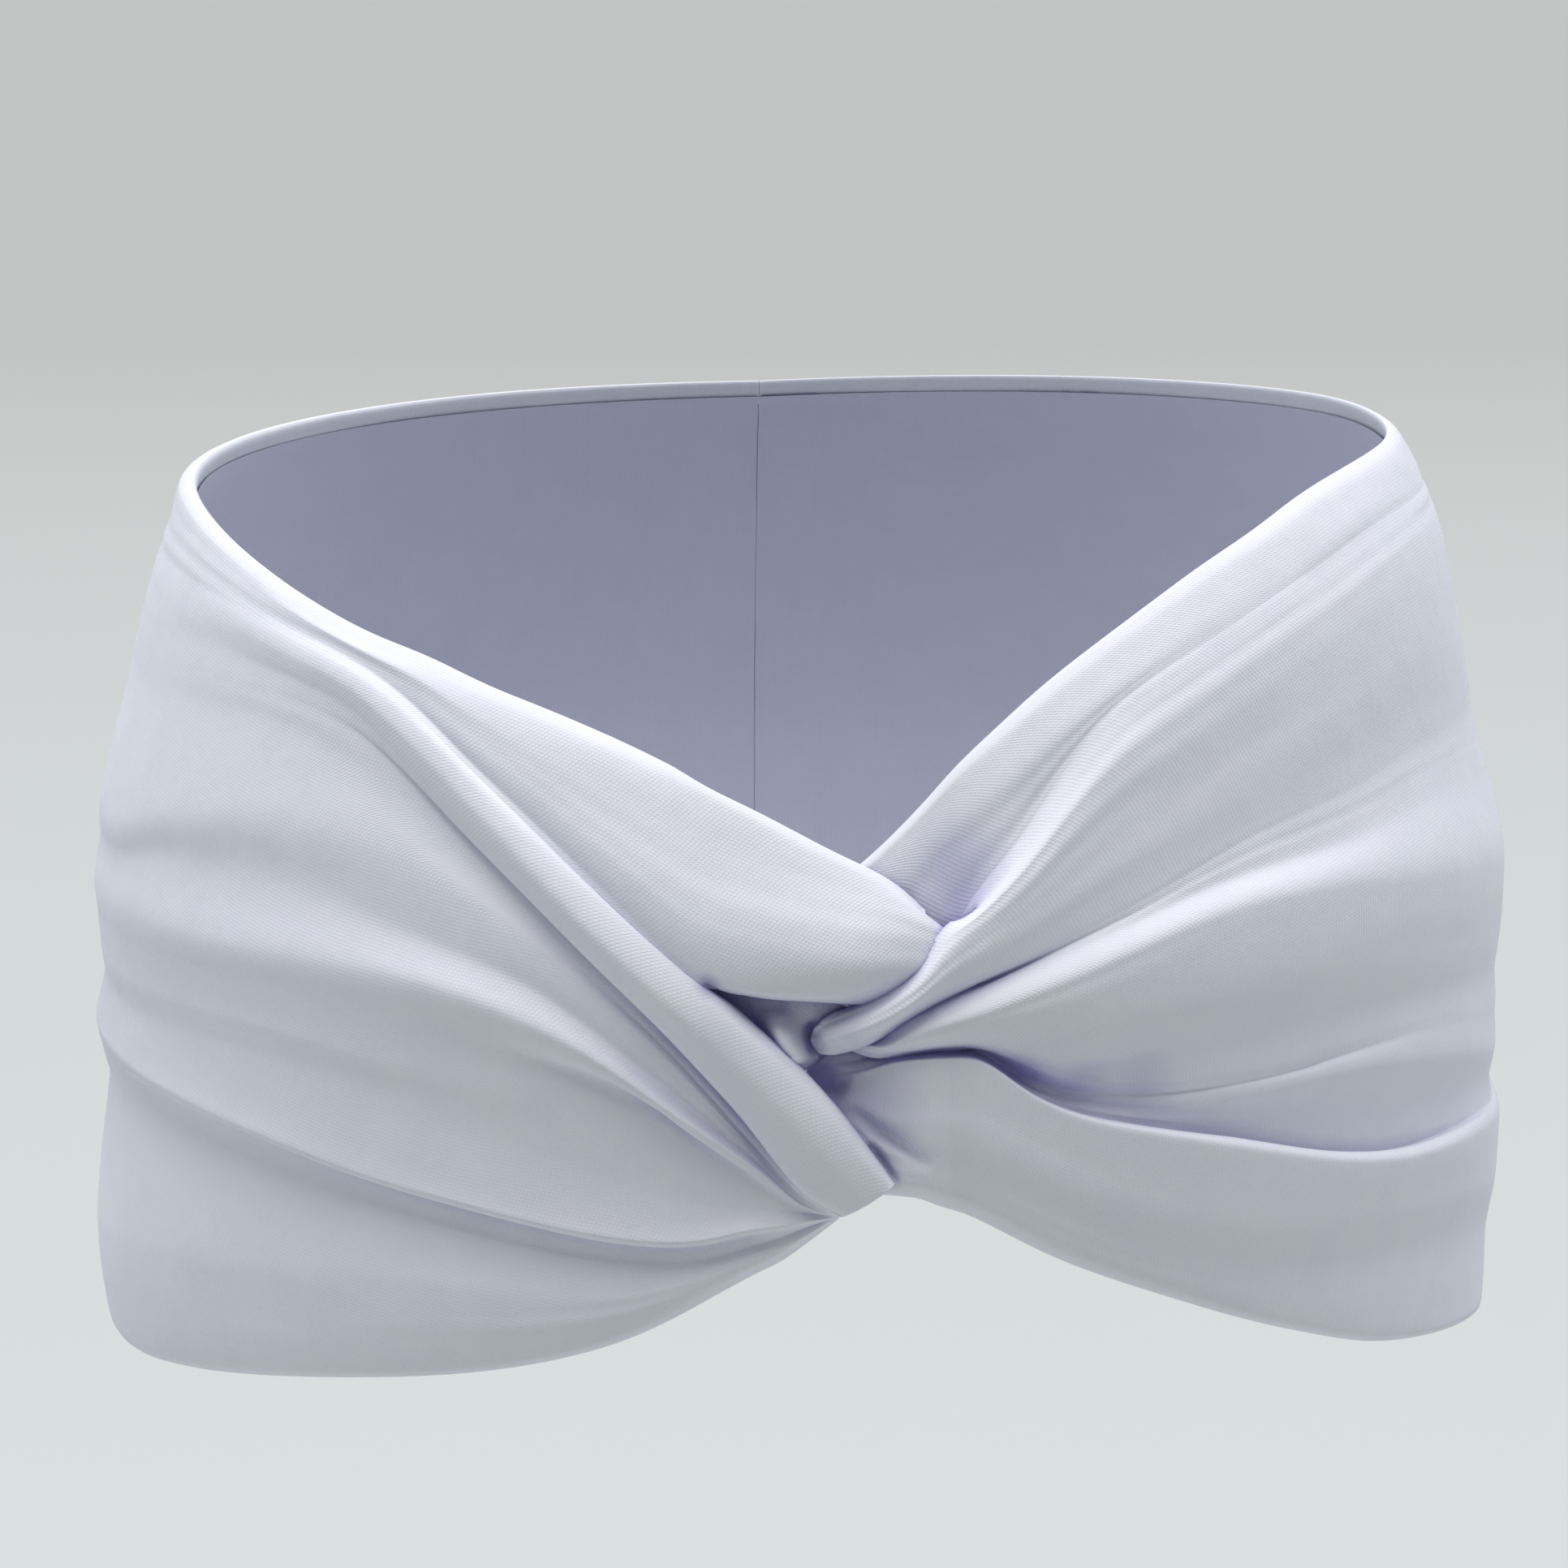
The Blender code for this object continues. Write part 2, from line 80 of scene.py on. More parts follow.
# Heights of the fold lines at those angles.
LEFT_HEIGHTS = (
    ("hem_top", 50.6, 49.8, 48.6, 47, 44, 40.7, 38.4, 37, 34.8, 32.8, 30.3, 28.3, 26.7),
    ("panel_high", 48, 47.5, 46.8, 45.6, 43, 40, 37.8, 35.9, 32.6, 29.2, 25.2, 22.4, 20.2),
    ("panel_low", 46, 45.5, 45.1, 44.2, 42, 39.3, 37.2, 34.8, 30.6, 26, 20.8, 16.9, 14.2),
    ("panel_edge", 43.5, 43.2, 43, 42.6, 41, 38.6, 36.6, 33.7, 28.8, 23.4, 17.4, 13, 9.8),
    ("roll_edge", 41.5, 41.2, 41, 41, 40, 37.9, 36, 32.9, 27.9, 22.4, 16.3, 11.9, 8.7),
    ("roll_crest", 38, 38, 38, 38, 38, 36.4, 34.6, 31, 25.8, 20, 13.4, 8.8, 5.2),
    ("roll_foot", 33, 33, 33, 34, 35, 34, 32.2, 28, 22.4, 16.4, 9.6, 4.7, 0.4),
    ("dip_below_roll", 28, 28, 28, 28, 29.6, 30, 28, 24.6, 19.2, 13.6, 7.4, 2.7, -1.6),
    ("fold_a", 15, 14, 12.5, 13, 17.4, 20, 20.2, 19, 16, 11.6, 5.8, 1.3, -2.9),
    ("dip_ab", 10, 9, 8, 8.8, 12.6, 14, 13.9, 12.4, 10.6, 8, 3, -1, -4.4),
    ("fold_b", 4, 4, 3.5, 4, 5.6, 6.6, 7, 7.1, 6.5, 4.6, 0.9, -2.9, -5.7),
    ("dip_bc", -7, -7, -6.5, -6, -5, -4, -4.4, -5.4, -7, -8.6, -10.4, -12, -13),
    ("fold_c", -15, -14, -13, -11.5, -11.4, -12, -13, -14, -14.8, -15.8, -16.7, -16.9, -16.4),
    ("dip_below_c", -22, -21, -20, -17.2, -15.4, -15.4, -16.2, -17, -17.8, -18.7, -19.3, -19.2, -18.5),
    ("low_panel", -36, -36, -36, -34, -30, -28, -27, -26.4, -25.6, -24.8, -23.6, -22, -20.4),
    ("hem_low", -46, -46.5, -47, -45.5, -41.8, -38.3, -36, -34.3, -32.5, -30.3, -27.4, -24.6, -22.1),
)
# Lift of the cloth off the head at fewer angles.
LEFT_LIFT_ANGLES = (180, 100, 62, 42, 30, 18, 11)
LEFT_LIFTS = (
    ("hem_top", 1.7, 2.7, 2.4, 2.2, 2.4, 2.8, 3.2),
    ("panel_high", 1.9, 2.6, 2.6, 3.0, 3.4, 4.4, 4.9),
    ("panel_low", 2.1, 2.4, 2.8, 2.8, 3.6, 5.0, 5.8),
    ("panel_edge", 2.2, 2.5, 2.9, 2.9, 3.3, 4.3, 5.0),
    ("roll_edge", 2.3, 2.6, 3.0, 3.6, 4.2, 4.8, 5.0),
    ("roll_crest", 2.5, 2.8, 3.2, 4.0, 4.9, 5.8, 6.2),
    ("roll_foot", 2.5, 2.9, 3.0, 3.2, 3.4, 3.8, 4.2),
    ("dip_below_roll", 2.5, 2.9, 3.0, 2.9, 2.7, 2.5, 2.6),
    ("fold_a", 2.5, 3.5, 3.9, 3.6, 3.3, 3.0, 2.9),
    ("dip_ab", 2.4, 3.3, 3.1, 2.9, 2.9, 2.9, 2.9),
    ("fold_b", 2.5, 3.7, 4.0, 4.3, 4.5, 4.6, 4.3),
    ("dip_bc", 2.4, 2.8, 3.1, 3.2, 3.0, 2.8, 2.6),
    ("fold_c", 2.5, 3.9, 4.1, 4.1, 4.0, 3.9, 3.8),
    ("dip_below_c", 2.3, 2.6, 2.4, 2.3, 2.3, 2.3, 2.3),
    ("low_panel", 2.6, 4.7, 4.0, 3.2, 3.0, 2.8, 2.8),
    ("hem_low", 1.7, 3.8, 2.6, 2.0, 1.9, 2.0, 2.0),
)
# The twist end of each rail: four more knots, going towards the twist.
# Columns: rail, then angle, height, lift and level of the underside, four times.
LEFT_ENDS = (
    ("hem_top", -7, 24.3, 3.5, 2.0, -2.2, 21.0, 3.6, 2.0, 2.0, 18.3, 3.4, 2.0, 4.8, 14.9, 2.9, 2.0),
    ("panel_high", -7, 18.9, 5.2, 2.0, -2.4, 17.2, 5.5, 2.0, 2.5, 15.7, 5.2, 2.0, 6.4, 13.0, 2.6, 2.0),
    ("panel_low", -7, 13, 6.3, 2.0, -2.4, 12.2, 6.6, 2.0, 2.4, 11.7, 5.6, 2.0, 6.0, 10.8, 2.5, 2.0),
    ("panel_edge", -7, 8.4, 5.4, 2.0, -3.0, 8.1, 5.2, 2.0, 0.2, 7.7, 4.2, 2.0, 3.6, 7.6, 2.4, 2.0),
    ("roll_edge", -8, 5.0, 5.1, 2.0, -5.4, 1.8, 5.2, 2.6, -2.4, -2.8, 5.1, 2.8, 1.8, -10.6, 4.2, 2.8),
    ("roll_crest", -8, 1.2, 6.4, 2.0, -5.6, -2.2, 6.6, 2.4, -2.9, -6.6, 6.4, 2.8, 0.1, -12.2, 4.8, 2.8),
    ("roll_foot", -8, -4.2, 4.4, 1.0, -6.0, -8.0, 4.6, 1.4, -4.2, -11.0, 4.6, 2.4, -1.5, -13.6, 4.0, 2.8),
    ("dip_below_roll", -8, -6.4, 2.5, 0, -6.2, -9, 3.1, 0.5, -4.3, -11.7, 3.6, 1.8, -1.55, -13.66, 3.8, 2.7),
    ("fold_a", -8, -7.0, 2.8, 0, -6.2, -9.5, 3.2, 0.4, -4.3, -12.0, 3.6, 1.6, -1.6, -13.72, 3.6, 2.5),
    ("dip_ab", -8, -7.6, 3.0, 0, -6.2, -9.9, 3.4, 0.3, -4.3, -12.3, 3.6, 1.5, -1.64, -13.78, 3.4, 2.3),
    ("fold_b", -8, -8.5, 3.9, 0, -6.1, -10.6, 3.8, 0.2, -4.2, -12.7, 3.7, 1.4, -1.68, -13.84, 3.2, 2.1),
    ("dip_bc", -8, -13.2, 2.6, 0, -6.1, -13.2, 2.9, 0.2, -4.1, -13.4, 3.2, 1.0, -1.72, -13.9, 3.0, 1.9),
    ("fold_c", -8, -15.2, 3.8, 0, -6.0, -14.8, 3.8, 0, -4.0, -14.2, 3.7, 0.6, -1.76, -13.96, 2.8, 1.6),
    ("dip_below_c", -8, -17.1, 2.3, 0, -6.0, -16.2, 2.5, 0, -4.0, -15.0, 2.6, 0.3, -1.8, -14.02, 2.6, 1.3),
    ("low_panel", -8, -18.5, 2.8, 0, -6.0, -17.3, 2.8, 0, -3.9, -15.6, 2.8, 0, -1.84, -14.08, 2.4, 1.1),
    ("hem_low", -8, -19.7, 2.0, 0, -6.0, -18.3, 2.0, 0, -3.9, -16.1, 2.1, 0, -1.9, -14.16, 2.2, 1.0),
)
# Level of the underside at the last two main angles, where the wrap climbs
# over the layer behind it.
LEFT_CLIMB = (
    ("hem_top", 0.8, 2.0),
    ("panel_high", 0.8, 2.0),
    ("panel_low", 0.8, 2.0),
    ("panel_edge", 0.8, 2.0),
    ("roll_edge", 0.8, 2.0),
    ("roll_crest", 0.8, 2.0),
    ("roll_foot", 0.3, 0.8),
)

# Right wrap.
RIGHT_ANGLES = (180, 135, 100, 80, 64, 54, 46, 38, 31, 25, 20, 15, 11, 8)
RIGHT_HEIGHTS = (
    ("hem_top", 50.6, 52.8, 54, 53.6, 53.2, 52.4, 51, 48.3, 45.5, 42.3, 39.2, 35.6, 31.9, 28.9),
    ("back_mid", 44, 46, 48.4, 50, 50.2, 49.7, 47.5, 44.4, 41.4, 38.2, 35, 30.8, 26.4, 23.4),
    ("back_foot", 39, 42, 45.6, 48.4, 48.4, 47.6, 45.8, 43.2, 40.2, 37.2, 34, 27.8, 21.0, 16.9),
    ("tip_edge", 35, 38, 42, 45.8, 45.6, 44.4, 42.3, 39.5, 36.2, 33, 29.9, 24.6, 19.2, 15.6),
    ("tip_mid", 25, 28, 31, 34, 34, 33.6, 32, 30, 27.6, 25, 22.2, 18.4, 14.8, 12.6),
    ("tip_foot", 18, 20, 22, 23.5, 24.6, 24.6, 23.2, 21.6, 20, 17.5, 15, 12.6, 10.5, 9),
    ("fold_d_top", 12.5, 14, 15.5, 16.5, 18.5, 19.2, 18.6, 17.8, 17, 15.5, 13.5, 11.4, 9.5, 8.1),
    ("fold_d", 8, 9, 9, 8, 10.6, 12.4, 13.6, 14.6, 14.5, 13.3, 11.4, 9.2, 7.4, 6),
    ("fold_d_foot", -2, -2, -3, -5.6, -3, -1.2, 0, 0, -0.5, -0.8, -1, -1.4, 0.6, 2.4),
    ("fold_e", -8, -9, -11, -13.5, -10, -7.4, -5.6, -5, -5.4, -5.5, -5, -3.3, -0.7, 2.3),
    ("dip_ef", -12, -13, -15, -17.7, -14.6, -12.8, -11.4, -10, -8.6, -7.3, -5.9, -4, -1.2, 2.0),
    ("fold_f", -18, -19, -20, -21.5, -18.4, -17, -15.8, -13.6, -10.9, -8.6, -6.8, -4.8, -1.8, 1.6),
    ("fold_f_mid", -26, -26, -27, -28, -25, -22.8, -21.5, -20.2, -18.4, -16.2, -13.8, -10.6, -7.5, -5),
    ("dip_low", -36, -36, -36, -35.5, -31, -28.4, -26.4, -25, -23.3, -21.4, -19.2, -15.9, -13, -10.8),
    ("hem_low", -46, -46, -45.5, -44, -40.2, -37.6, -35.3, -31.8, -28.4, -25.1, -22.3, -19.3, -16.3, -14),
)
RIGHT_LIFT_ANGLES = (180, 100, 64, 46, 31, 20, 11, 8)
RIGHT_LIFTS = (
    ("hem_top", 1.7, 1.9, 2.2, 2.2, 2.2, 2.2, 2.0, 1.9),
    ("back_mid", 2.2, 2.4, 2.8, 3.2, 3.3, 3.2, 2.7, 2.2),
    ("back_foot", 2.3, 2.4, 2.8, 3.2, 3.4, 3.2, 2.4, 1.9),
    ("tip_edge", 2.5, 2.5, 3.4, 4.0, 4.2, 4.5, 4.9, 4.8),
    ("tip_mid", 2.4, 2.2, 2.9, 3.4, 3.7, 4.0, 4.5, 4.8),
    ("tip_foot", 2.4, 2.0, 2.0, 2.4, 2.6, 2.8, 3.2, 3.4),
    ("fold_d_top", 2.4, 2.1, 2.4, 3.0, 3.0, 3.2, 3.5, 3.6),
    ("fold_d", 2.7, 2.6, 3.6, 4.5, 4.8, 4.9, 5.0, 5.0),
    ("fold_d_foot", 2.2, 1.8, 2.4, 2.8, 2.6, 2.6, 2.4, 2.4),
    ("fold_e", 2.4, 2.2, 2.8, 3.4, 2.5, 1.3, 1.0, 1.0),
    ("dip_ef", 2.3, 2.0, 1.7, 1.6, 1.5, 1.5, 1.4, 1.4),
    ("fold_f", 2.5, 2.6, 3.6, 4.4, 4.4, 4.2, 3.9, 3.7),
    ("fold_f_mid", 2.6, 2.7, 3.2, 3.8, 4.0, 4.0, 4.0, 3.9),
    ("dip_low", 2.2, 1.8, 2.0, 2.4, 2.6, 2.8, 3.0, 3.0),
    ("hem_low", 1.7, 1.9, 2.0, 2.0, 2.0, 2.0, 2.0, 2.0),
)
RIGHT_ENDS = (
    ("hem_top", 5, 25.1, 1.7, 0, -1.5, 17.8, 1.7, 0, -5, 16.0, 1.7, 0, -12.6, 12.6, 1.4, 0),
    ("back_mid", 5, 20.2, 1.7, 0, -2.0, 11.6, 1.7, 0, -5.2, 10.4, 1.7, 0, -13.2, 8.6, 1.4, 0),
    ("back_foot", 4.4, 9.0, 1.6, 0, -2.6, 4.9, 1.6, 0, -4.4, 1.0, 1.6, 0, -12.6, 3.4, 1.4, 0),
    ("tip_edge", 5.8, 13.7, 4.5, 2.1, 4.4, 11.5, 4.4, 2.1, 1.2, 7.7, 4.1, 2.1, -3.4, 4.9, 2.8, 1.2),
    ("tip_mid", 5.6, 10.6, 5.2, 1.6, 3.2, 7.8, 5.6, 2.1, 0.0, 5.3, 5.3, 2.1, -3.6, 3.6, 3.1, 1.2),
    ("tip_foot", 5.4, 7.6, 3.6, 0.6, 3.0, 6.0, 3.8, 1.6, 0.2, 3.5, 3.8, 2.1, -3.4, 2.0, 2.7, 1.2),
    ("fold_d_top", 5.2, 6.7, 3.6, 0, 2.8, 5.1, 3.6, 0.8, 0.9, 3.5, 2.6, 1.2, -1.6, 3.9, 1.6, 0.8),
    ("fold_d", 5.2, 5.0, 4.8, 0, 2.8, 3.9, 4.4, 0.8, 0.9, 2.8, 3.4, 1.2, -1.6, 3.4, 1.7, 0.8),
    ("fold_d_foot", 5.2, 2.4, 2.5, 0, 2.8, 2.2, 2.7, 0.8, 0.9, 2.0, 2.7, 1.0, -1.4, 2.8, 1.6, 0.8),
    ("fold_e", 5.2, 2.5, 1.0, 0, 2.6, 2.3, 0.9, 0, -0.2, 1.8, 0.7, 0, -3.8, 1.0, 0.4, 0),
    ("dip_ef", 5.2, 2.1, 1.4, 0, 2.6, 1.9, 1.3, 0, -0.2, 1.3, 0.9, 0, -4.0, 0.0, 0.4, 0),
    ("fold_f", 5.0, 1.7, 3.4, 0, 2.4, 1.4, 2.9, 0, -0.6, -0.2, 1.7, 0, -4.2, -1.8, 0.5, 0),
    ("fold_f_mid", 5.2, -4.2, 3.8, 0, 3.0, -4.2, 3.5, 0, 0.3, -4.4, 2.8, 0, -3.6, -4.6, 1.8, 0),
    ("dip_low", 5.6, -9.2, 3.3, 0, 4.2, -8.7, 3.2, 0, 2.0, -8.3, 2.8, 0, -2.0, -8.0, 2.0, 0),
    ("hem_low", 5.6, -12.8, 2.3, 0, 4.2, -12.0, 2.3, 0, 2.2, -11.6, 2.3, 0, -1.0, -11.2, 1.9, 0),
)
# Where one fold lies over the next.  The cloth between the two rails dips to
# a level above the lining and tucks under whichever side is named as over.
# Columns: rail above, side that lies over, reach and drop in mm, and the
# strength at each angle from the centre front.
TUCK_ANGLES = (180, 80, 62, 50, 42, 36, 25, 14, 8, 4)
LEFT_TUCKS = (
    ("panel_edge", "low", 1.0, 0.4, 0, 0, 0, 0, 0, 0, 0.15, 0.5, 0.9, 1),
    ("roll_foot", "high", 0.9, 0.8, 0, 0, 0, 0, 0.1, 0.4, 0.7, 0.9, 0.7, 0.2),
    ("fold_b", "high", 0.6, 0.5, 0, 0, 0, 0, 0, 0, 0.3, 0.8, 0.5, 0),
    ("fold_c", "high", 0.8, 0.6, 0, 0, 0.3, 0.6, 0.7, 0.8, 0.8, 0.7, 0.4, 0),
)
RIGHT_TUCKS = (
    ("back_foot", "low", 0.8, 0.5, 0, 0, 0, 0, 0, 0, 0, 0, 0.15, 0.5),
    ("tip_foot", "both", 0.0, 1.2, 0, 0, 0, 0, 0, 0, 0, 0.35, 0.8, 0.8),
    ("fold_d_foot", "low", 0.6, 0.8, 0, 0, 0, 0.1, 0.3, 0.5, 0.4, 0.3, 0.5, 0.5),
    ("dip_ef", "low", 0.8, 0.5, 0, 0.2, 0.5, 0.8, 0.9, 1, 0.9, 0.5, 0.2, 0),
)

# Fullness between two rails: the cloth keeps near the upper rail's lift.
# Columns: rail above, share of the way down, share of the change in lift there.
LEFT_BULGES = (("low_panel", 0.7, 0.4),)
RIGHT_BULGES = (("fold_d", 0.66, 0.45), ("dip_low", 0.6, 0.3))

# Single small folds, each a straight line on the unrolled head.
# Columns: angle and height of one end, angle and height of the other, half width, height.
RIGHT_CREASES = (
    (-6.6, 6.2, -3.7, -0.9, 1.4, 2.9),
    (-3.7, 5.2, -3.3, 1.8, 0.7, -1.1),
    (-3.2, 0.0, -1.2, -1.8, 1.4, -1.0),
    (0.4, -6.6, 2.5, -11.0, 0.4, -0.5),
    (-1.2, -3.4, 5.0, -8.9, 0.8, -0.9),
)

# Slits name the rails under which the strands part near the twist, and how the
# upper strand lies to the lower one.  Noses tell how far the sides of each
# strand are drawn back at its end, as a share of its length.
WRAPS = (
    {
        "name": "left_wrap",
        "side": -1,
        "angles": LEFT_ANGLES,
        "heights": LEFT_HEIGHTS,
        "lift_angles": LEFT_LIFT_ANGLES,
        "lifts": LEFT_LIFTS,
        "ends": LEFT_ENDS,
        "climb": LEFT_CLIMB,
        "tucks": LEFT_TUCKS,
        "bulges": LEFT_BULGES,
        "slits": {"panel_edge": "beside"},
        "noses": (0.12, 0.0),
        "creases": (),
        "gather_seed": 11,
    },
    {
        "name": "right_wrap",
        "side": 1,
        "angles": RIGHT_ANGLES,
        "heights": RIGHT_HEIGHTS,
        "lift_angles": RIGHT_LIFT_ANGLES,
        "lifts": RIGHT_LIFTS,
        "ends": RIGHT_ENDS,
        "climb": (),
        "tucks": RIGHT_TUCKS,
        "bulges": RIGHT_BULGES,
        "slits": {"back_foot": "under", "tip_foot": "over", "fold_d_foot": "over"},
        "noses": (0.0, 0.12, 0.0, 0.0),
        "creases": RIGHT_CREASES,
        "gather_seed": 23,
    },
)

# Spacing of the cloth's rows and columns.
ROW_STEPS = ((180, 1.9), (90, 1.3), (60, 0.9), (30, 0.6), (12, 0.5), (0, 0.5))   # angle, mm
FEWEST_STEPS = 3           # rows between two angles of a table
END_STEPS = 14             # rows between two knots of the twist ends
INSIDE_STEP = 3            # the inner ply has every third row, and three columns between rails
INSIDE_END_ROWS = 2        # rows by which the inner ply is shorter at the twist
INSIDE_EARLY_ROWS = 2      # rows by which the inner ply parts before the outer one
TIP_STEPS = 8              # rows in the turn of a strand end
SEAM_STEPS = 5             # rows in the turn at the centre back seam
OPENING_ROWS = 10          # rows over which a slit opens
COLUMN_STEP = 0.5          # spacing of the columns across the rails, mm
COLUMN_COUNTS = (2, 26)    # fewest and most columns between two knots
COLUMN_PERCENTILE = 75     # the space between two knots that sets their columns
UNROLLED_RADIUS = 84.0     # mean radius that turns an angle into a length round the head
FRONT_RADIUS = 94.0        # distance of the front and the back from the middle of the head

# Turned cloth at borders, mm.
HEM_CURL = 2.6             # how far the cloth turns back inside a hem
LINING_LEVEL = 0.45        # lift of the hidden turned-in cloth off the head
TURN_RADII = (0.3, 1.1)    # least and greatest radius of the turn
TURN_OUT = 0.7             # how far the turn stands out, in radii
TURN_IN = 0.6              # where the turned cloth comes down to the head
UNDER_NEAR = 0.8           # cloth that runs on under its neighbour starts to dip here
UNDER_NEAR_LEVEL = 0.6     # share of its lift that it still has there
UNDER_FAR = 2.4            # and ends here
TIP_REACH = 0.45           # how far the turn of a strand end stands out, in thicknesses
TIP_LEAST = 0.05           # least thickness of a strand end
SEAM_RADIUS = 0.7          # how round the cloth turns in at the centre back seam
SEAM_LEAST = 0.1           # least lift of the cloth there
NOSE_LIMIT = 0.98          # outermost place of a round end that is still drawn back as a circle

# Tucks: shares of the reach, of the space between two rails or of the lift.
TUCK_LEAST_LIFT = 0.3      # of the cloth in the dip, mm
TUCK_MOST_REACH = 0.45     # of the space
TUCK_LIP = 0.8             # of the reach, from the rail that lies over to the lip
TUCK_DIP = 0.5             # of the reach, from that rail back to the dip
TUCK_LIP_LEVEL = 0.6       # level of the lip between the dip and the rail
TUCK_FAR_STEP = 0.4        # from the lip to the far side of the dip, mm
TUCK_FAR_EDGE = 0.15       # of the space, the nearest that the far side comes to its rail
TUCK_OPEN_SIDE = 0.2       # of the space, from the dip to its sides where both lie over it
TUCK_HALF = 0.5            # half way
NO_TUCK = (0.3, 0.7)       # of the space, where the side knots lie without a tuck

# Evening out of the rails along and across, in steps of the cloth.
RAIL_BLUR = 4.0
ACROSS_BLUR = 0.8
BELL_REACH = 2.5
TINY = 1e-12
TINY_LENGTH = 1e-6

# Gathers that run with the rails.  Columns: height in mm, waves between two
# rails, offset, length along the rails in mm, strength at angles from the front.
GATHERS = (
    (0.24, 1.7, 3.0, 38.0, ((0, 12, 30, 60, 110, 180), (1.0, 1.0, 0.9, 0.6, 0.5, 0.35))),
    (0.12, 4.2, 11.0, 24.0, ((0, 10, 30, 60), (1.0, 0.9, 0.35, 0.15))),
    (0.05, 1.3, 5.0, 9.0, ((0, 180), (1.0, 1.0))),
)
GATHER_ROOM = 5.0          # space between two rails that gives full gathers, mm
GATHER_LEAST_ROOM = 0.1
GATHER_SLACK = (0.7, 1.2)  # thickness where gathers start, and how much more lets them be full
CREASE_SLACK = (0.6, 1.0)
NOISE_SIZE = 256

# The inner ply.
INSIDE_INSET = 1.6         # how far its borders lie inside the hems, mm
INSIDE_LEVEL = 0.24        # its lift off the head
INSIDE_FOLLOW = 0.3        # how far it follows the folds
INSIDE_SLACK = 2.4         # thickness from which it follows them
WRINKLE_HEIGHT = 0.12
WRINKLE_ACROSS, WRINKLE_SLANT, WRINKLE_ALONG = 9.0, 40.0, 26.0
FINE_WRINKLE_ACROSS, FINE_WRINKLE_ALONG, FINE_WRINKLE_SHARE = 4.0, 30.0, 0.5
WRINKLE_SEED = 41


def tangents(values, places):
    """Slopes of a smooth curve through values at rising places, with no overshoot."""
    steps = np.diff(places).reshape((-1,) + (1,) * (values.ndim - 1))
    slopes = np.diff(values, axis=0) / steps
    before, after = slopes[:-1], slopes[1:]
    total = np.where(np.abs(before + after) < TINY, 1.0, before + after)
    inner = np.where(before * after > 0, 2 * before * after / total, 0.0)
    return np.concatenate([slopes[:1], inner, slopes[-1:]])


def smooth(values, places, at):
    """Smooth curve through values (first axis) at rising places, read at the places in at."""
    values, places, at = (np.asarray(a, float) for a in (values, places, at))
    slope = tangents(values, places)
    k = np.clip(np.searchsorted(places, at, side="right") - 1, 0, len(places) - 2)
    gap = places[k + 1] - places[k]
    t = (at - places[k]) / gap
    shape = (-1,) + (1,) * (values.ndim - 1)
    t, gap = t.reshape(shape), gap.reshape(shape)
    return (
        (2 * t**3 - 3 * t**2 + 1) * values[k]
        + (t**3 - 2 * t**2 + t) * gap * slope[k]
        + (-2 * t**3 + 3 * t**2) * values[k + 1]
        + (t**3 - t**2) * gap * slope[k + 1]
    )


def soften(values, width, axis):
    """Running average of a grid along one axis, with a bell of the given width in steps."""
    reach = int(math.ceil(BELL_REACH * width))
    bell = np.exp(-0.5 * (np.arange(-reach, reach + 1) / width) ** 2)
    bell /= bell.sum()
    values = np.moveaxis(values, axis, 0)
    first = 2 * values[:1] - values[reach:0:-1]
    last = 2 * values[-1:] - values[-2:-reach - 2:-1]
    padded = np.concatenate([first, values, last])
    out = sum(w * padded[i:i + len(values)] for i, w in enumerate(bell))
    return np.moveaxis(out, 0, axis)


def half_width(height):
    """Half width of the head at heights."""
    table = np.array(HEAD)
    return smooth(table[:, 1], table[:, 0], np.ravel(height)).reshape(np.shape(height))


def head_point(angle, height, lift):
    """Points at angles from the centre front, heights and lifts off the head (mm)."""
    wide = half_width(height)
    deep = wide * HEAD_DEPTH_RATIO
    turn = np.radians(angle)
    x, y = wide * np.sin(turn), -deep * np.cos(turn)
    nx, ny = np.sin(turn) / wide, -np.cos(turn) / deep
    size = np.hypot(nx, ny)
    return np.stack([x + lift * nx / size, y + lift * ny / size, height + 0 * x], -1)


def rail_knots(wrap):
    """Knots of every rail: angle, height, lift and under level."""
    angles = np.array(wrap["angles"], float)
    climb = {row[0]: row[1:] for row in wrap["climb"]}
    knots = []
    for heights, lifts, ends in zip(wrap["heights"], wrap["lifts"], wrap["ends"]):
        lift = smooth(lifts[1:], -np.array(wrap["lift_angles"], float), -angles)
        under = np.zeros(len(angles))
        if heights[0] in climb:
            under[-2:] = climb[heights[0]]
        turn = wrap["side"] * angles
        turn[0] -= wrap["side"] * math.degrees(SEAM_HALF_GAP / half_width(0.0))
        main_part = np.stack([turn, np.array(heights[1:], float), lift, under], 1)
        knots.append(np.concatenate([main_part, np.array(ends[1:], float).reshape(-1, 4)]))
    return np.array(knots)


def rows_along(angles, last):
    """Where the rows of the cloth lie along the rails, counted in knots."""
    step_angles, steps = zip(*ROW_STEPS)
    at = [0.0]
    for k in range(last):
        count = END_STEPS
        if k + 1 < len(angles):
            middle = (angles[k] + angles[k + 1]) / 2
            step = np.interp(middle, step_angles[::-1], steps[::-1])
            length = math.radians(angles[k] - angles[k + 1]) * UNROLLED_RADIUS
            count = max(FEWEST_STEPS, round(length / step))
        at += [k + (i + 1) / count for i in range(count)]
    return np.array(at)


def opened(closed, apart, share):
    """Knots between their place in the closed cloth and their place beside a slit."""
    return closed + (apart - closed) * share[:, None]


def knot(angle, height, lift, under):
    return np.stack(np.broadcast_arrays(angle, height, lift, under), 1)


